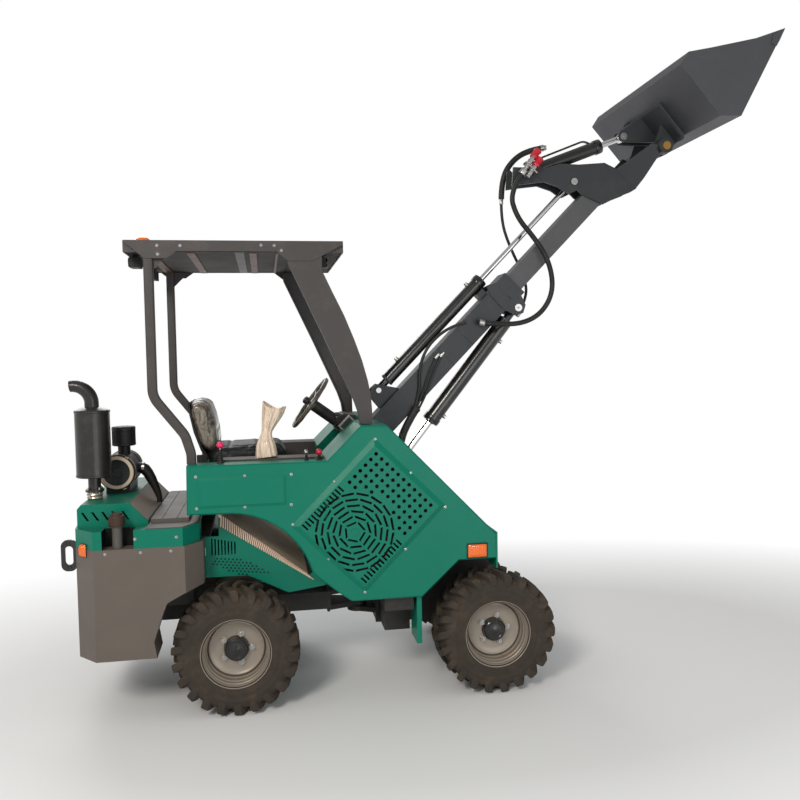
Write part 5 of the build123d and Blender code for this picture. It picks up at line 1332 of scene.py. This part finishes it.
# cylinders: a gland nut, a port with a hexagon, and a weld bead at the foot
joints = dict(boomFoot=(-306.932, 1198), bucketPin=(1303.932, 2735.931), liftPin=(526.343, 1896.142),
              liftFoot=(-245.932, 927), extendBase=(-233.638, 1469.472), extendEye=(849.267, 2571.444),
              tiltBase=(571.733, 2610.036), tiltLink=(1147.932, 2827.931))
cylinders = {
    "lift": dict(foot="liftPin", head="liftFoot", radius=42.5, length=770, rod=18, pin=32,
                 body="lift_barrel", portUp=-1, ports=(0.16, 0.9)),
    "extend": dict(foot="extendBase", head="extendEye", radius=35, length=817, rod=14, pin=28, body="boom",
                   portUp=1, ports=(0.16, 0.9)),
    "tilt": dict(foot="tiltBase", head="tiltLink", radius=35, length=481, rod=16, pin=28, body="tilt_barrel",
                 portUp=1, ports=()),
}
for name, cylinder in cylinders.items():
    (x1, z1), (x2, z2) = joints[cylinder["foot"]], joints[cylinder["head"]]
    axis = Vector((x2 - x1, 0, z2 - z1)).normalized()
    foot = Vector((x1, 0, z1)) / 1000
    r, length = cylinder["radius"], cylinder["length"]
    start = cylinder["pin"] * 2.5
    gland = [(length - 34, r), (length - 34, r + 3.6), (length - 30, r + 4.4), (length - 8, r + 4.4),
             (length - 4, r + 2), (length + 1.5, r - 4), (length + 1.5, cylinder["rod"] + 2)]
    wiper = [(length + 1, cylinder["rod"] + 6), (length + 5, cylinder["rod"] + 5),
             (length + 6, cylinder["rod"] + 0.8)]
    bead = [(start - 3, r - 12), (start - 2, r - 3), (start + 2, r + 1.4), (start + 7, r + 1.6),
            (start + 10, r)]
    assemble(name + "Gland", [turned(gland, foot, axis, 48), turned(wiper, foot, axis, 40)], "blackGloss",
             cylinder["body"])
    assemble(name + "Bead", [turned(bead, foot, axis, 48)], "weldSteel", cylinder["body"])
    side = axis.cross(Vector((0, 1, 0)))
    side = side if side.z * cylinder["portUp"] > 0 else -side
    ports = []
    for share in cylinder["ports"]:
        portAt = foot + axis * (start + (length - start) * share) / 1000 + side * (r - 2) / 1000
        ports.append(turned([(0, 12), (7, 12), (8, 10), (8, 0)], portAt, side, 24))
        ports.append(hexagon(axisFrame(portAt, side), 17, 7, 17))
    if ports:
        assemble(name + "Ports", ports, "bareSteel", cylinder["body"])

# each pin's joint, its half length, its radius and the body it rides on
pins = dict(boom=("boomFoot", 146, 25, "front_frame"), lift=("liftPin", 78, 16, "boom"),
            tilt=("tiltBase", 71.5, 14, "inner_boom"), eye=("extendEye", 71.5, 14, "inner_boom"),
            link=("tiltLink", 40, 15, "bucket"))
greaseNipple = [(0, 3.4), (3.5, 3.4), (4, 2), (6.5, 2.6), (8, 1.6), (8, 0)]
for name, (joint, reach, radius, body) in pins.items():
    x, z = joints[joint]
    head = [(-7, 0), (-7, radius + 5), (-1.5, radius + 5), (0, radius + 3.5), (0, 6), (1.2, 5), (1.2, 0)]
    shapes = []
    for side in (-1, 1):
        end = Vector((x, side * reach, z)) / 1000
        shapes += [turned(head, end, (0, side, 0), 32), turned(greaseNipple, end, (0, side, 0), 14)]
    assemble(name + "PinEnds", shapes, "bareSteel", body)
print("boom, hoses and cylinders dressed")


def weld(name, points, size, body):  # a rippled bead along a line of points in metres
    line, radii = [], []
    for first, second in zip(points, points[1:]):
        count = max(int((second - first).length / 0.004), 2)
        for step in range(count):
            line.append(first.lerp(second, step / count))
            radii.append(size * (1 + 0.12 * math.sin(len(line) * 1.9)))
    line.append(points[-1])
    radii.append(size)
    return assemble(name, [swept(line, radii, 8)], "weldSteel", body, angle=80)


def fromBucketPin(outline):
    return [(joints["bucketPin"][0] + x, joints["bucketPin"][1] + z) for x, z in outline]


bucketSeam = dict(edge=[(-96, 304), (115, 64), (226, 68), (459, 502)], y=533.5, inward=0.035, size=2.6)
for sideName, side in sides:
    line = [Vector((x, side * bucketSeam["y"], z)) / 1000 for x, z in fromBucketPin(bucketSeam["edge"])]
    middle = sum(line, Vector()) / len(line)
    beadLine = [point.lerp(middle, bucketSeam["inward"]) for point in line]
    weld("bucketWeld" + sideName, beadLine, bucketSeam["size"], "bucket")

# the bucket's spill guard along its top edge, its cheeks, and the side cutters at the lip
rim = dict(guard=[(-96, 304), (-55, 366), (-48, 361), (-90, 300)],
           cheek=[(-96, 304), (-55, 366), (60, 390), (300, 446), (70, 363)],
           cutter=[(392, 464), (458.5, 501.5), (426, 436), (410, 410), (384, 424)], half=540, sheet=8)
rimHalf = rim["half"]
spillGuard = prism(fromBucketPin(rim["guard"]), upright, -rimHalf + 0.5, rimHalf - 0.5)
cheeks = [prism(fromBucketPin(rim["cheek"]), upright, rimHalf - rim["sheet"], rimHalf),
          prism(fromBucketPin(rim["cutter"]), upright, rimHalf + 0.2, rimHalf + 6)]
assemble("bucketRim", [spillGuard] + cheeks + mirrored(cheeks), "bucketGrey", "bucket", 1.2)

studio = dict(floorTone=0.82, floorSize=60, worldStrength=0.45, fade=(1.6, 3.4), spread=(0.72, 1.25, 0))
floorMesh = bpy.data.meshes.new("studioFloor")
half = studio["floorSize"] / 2
floorMesh.from_pydata([(x, y, 0) for x, y in rectangle(-half, -half, half, half)], [], [(0, 1, 2, 3)])
floor = bpy.data.objects.new("studioFloor", floorMesh)
bpy.context.collection.objects.link(floor)
floorMaterial, tree, shader = plainMaterial("palePaper")
shader.inputs["Base Color"].default_value = (studio["floorTone"],) * 3 + (1.0,)
shader.inputs["Roughness"].default_value = 0.9
light = tree.nodes.new("ShaderNodeEmission")
light.inputs["Color"].default_value = (1, 1, 1, 1)
blend = tree.nodes.new("ShaderNodeMixShader")
path = tree.nodes.new("ShaderNodeLightPath")
seen = mathNode(tree, "MAXIMUM", path.outputs["Is Camera Ray"], path.outputs["Is Glossy Ray"])
seen = mathNode(tree, "MAXIMUM", seen, path.outputs["Is Transmission Ray"])
reach = tree.nodes.new("ShaderNodeVectorMath")
reach.operation = "LENGTH"
flatten = tree.nodes.new("ShaderNodeMapping")
flatten.inputs["Scale"].default_value = studio["spread"]
join(tree, objectCoordinates(tree), flatten.inputs["Vector"])
join(tree, flatten.outputs["Vector"], reach.inputs[0])
white = mathNode(tree, "MULTIPLY", seen, ramp(tree, reach.outputs["Value"], *studio["fade"]))
join(tree, white, blend.inputs["Fac"])
join(tree, shader.outputs["BSDF"], blend.inputs[1])
join(tree, light.outputs["Emission"], blend.inputs[2])
join(tree, blend.outputs["Shader"], tree.nodes["Material Output"].inputs["Surface"])
floorMesh.materials.append(floorMaterial)

world = bpy.data.worlds.new("studioWorld")
bpy.context.scene.world = world
world.use_nodes = True
tree = world.node_tree
background = tree.nodes["Background"]
path = tree.nodes.new("ShaderNodeLightPath")
seen = mathNode(tree, "MAXIMUM", path.outputs["Is Camera Ray"], path.outputs["Is Transmission Ray"])
seen = mathNode(tree, "MULTIPLY", seen, 1.0 - studio["worldStrength"])
join(tree, mathNode(tree, "ADD", seen, studio["worldStrength"]), background.inputs["Strength"])
background.inputs["Color"].default_value = (1, 1, 1, 1)

lamps = {
    "keyLamp": dict(at=(-3.4, -5.6, 4.6), target=(0.1, 0, 0.9), size=1.6, power=250,
                    colour=(1.0, 0.95, 0.88)),
    "fillLamp": dict(at=(1.8, -6.0, 1.3), target=(0, 0, 0.9), size=3.4, power=90, colour=(0.92, 0.96, 1.0)),
    "rimLamp": dict(at=(-2.5, 4.5, 4.0), target=(0, 0, 1.3), size=3.0, power=110, colour=(1.0, 1.0, 1.0)),
}
for name, lamp in lamps.items():
    data = bpy.data.lights.new(name, "AREA")
    data.size, data.energy, data.color = lamp["size"], lamp["power"], lamp["colour"]
    light = bpy.data.objects.new(name, data)
    aim = Vector(lamp["target"]) - Vector(lamp["at"])
    light.matrix_world = Matrix.Translation(lamp["at"]) @ aim.to_track_quat("-Z", "Y").to_matrix().to_4x4()
    bpy.context.collection.objects.link(light)
print("studio set")
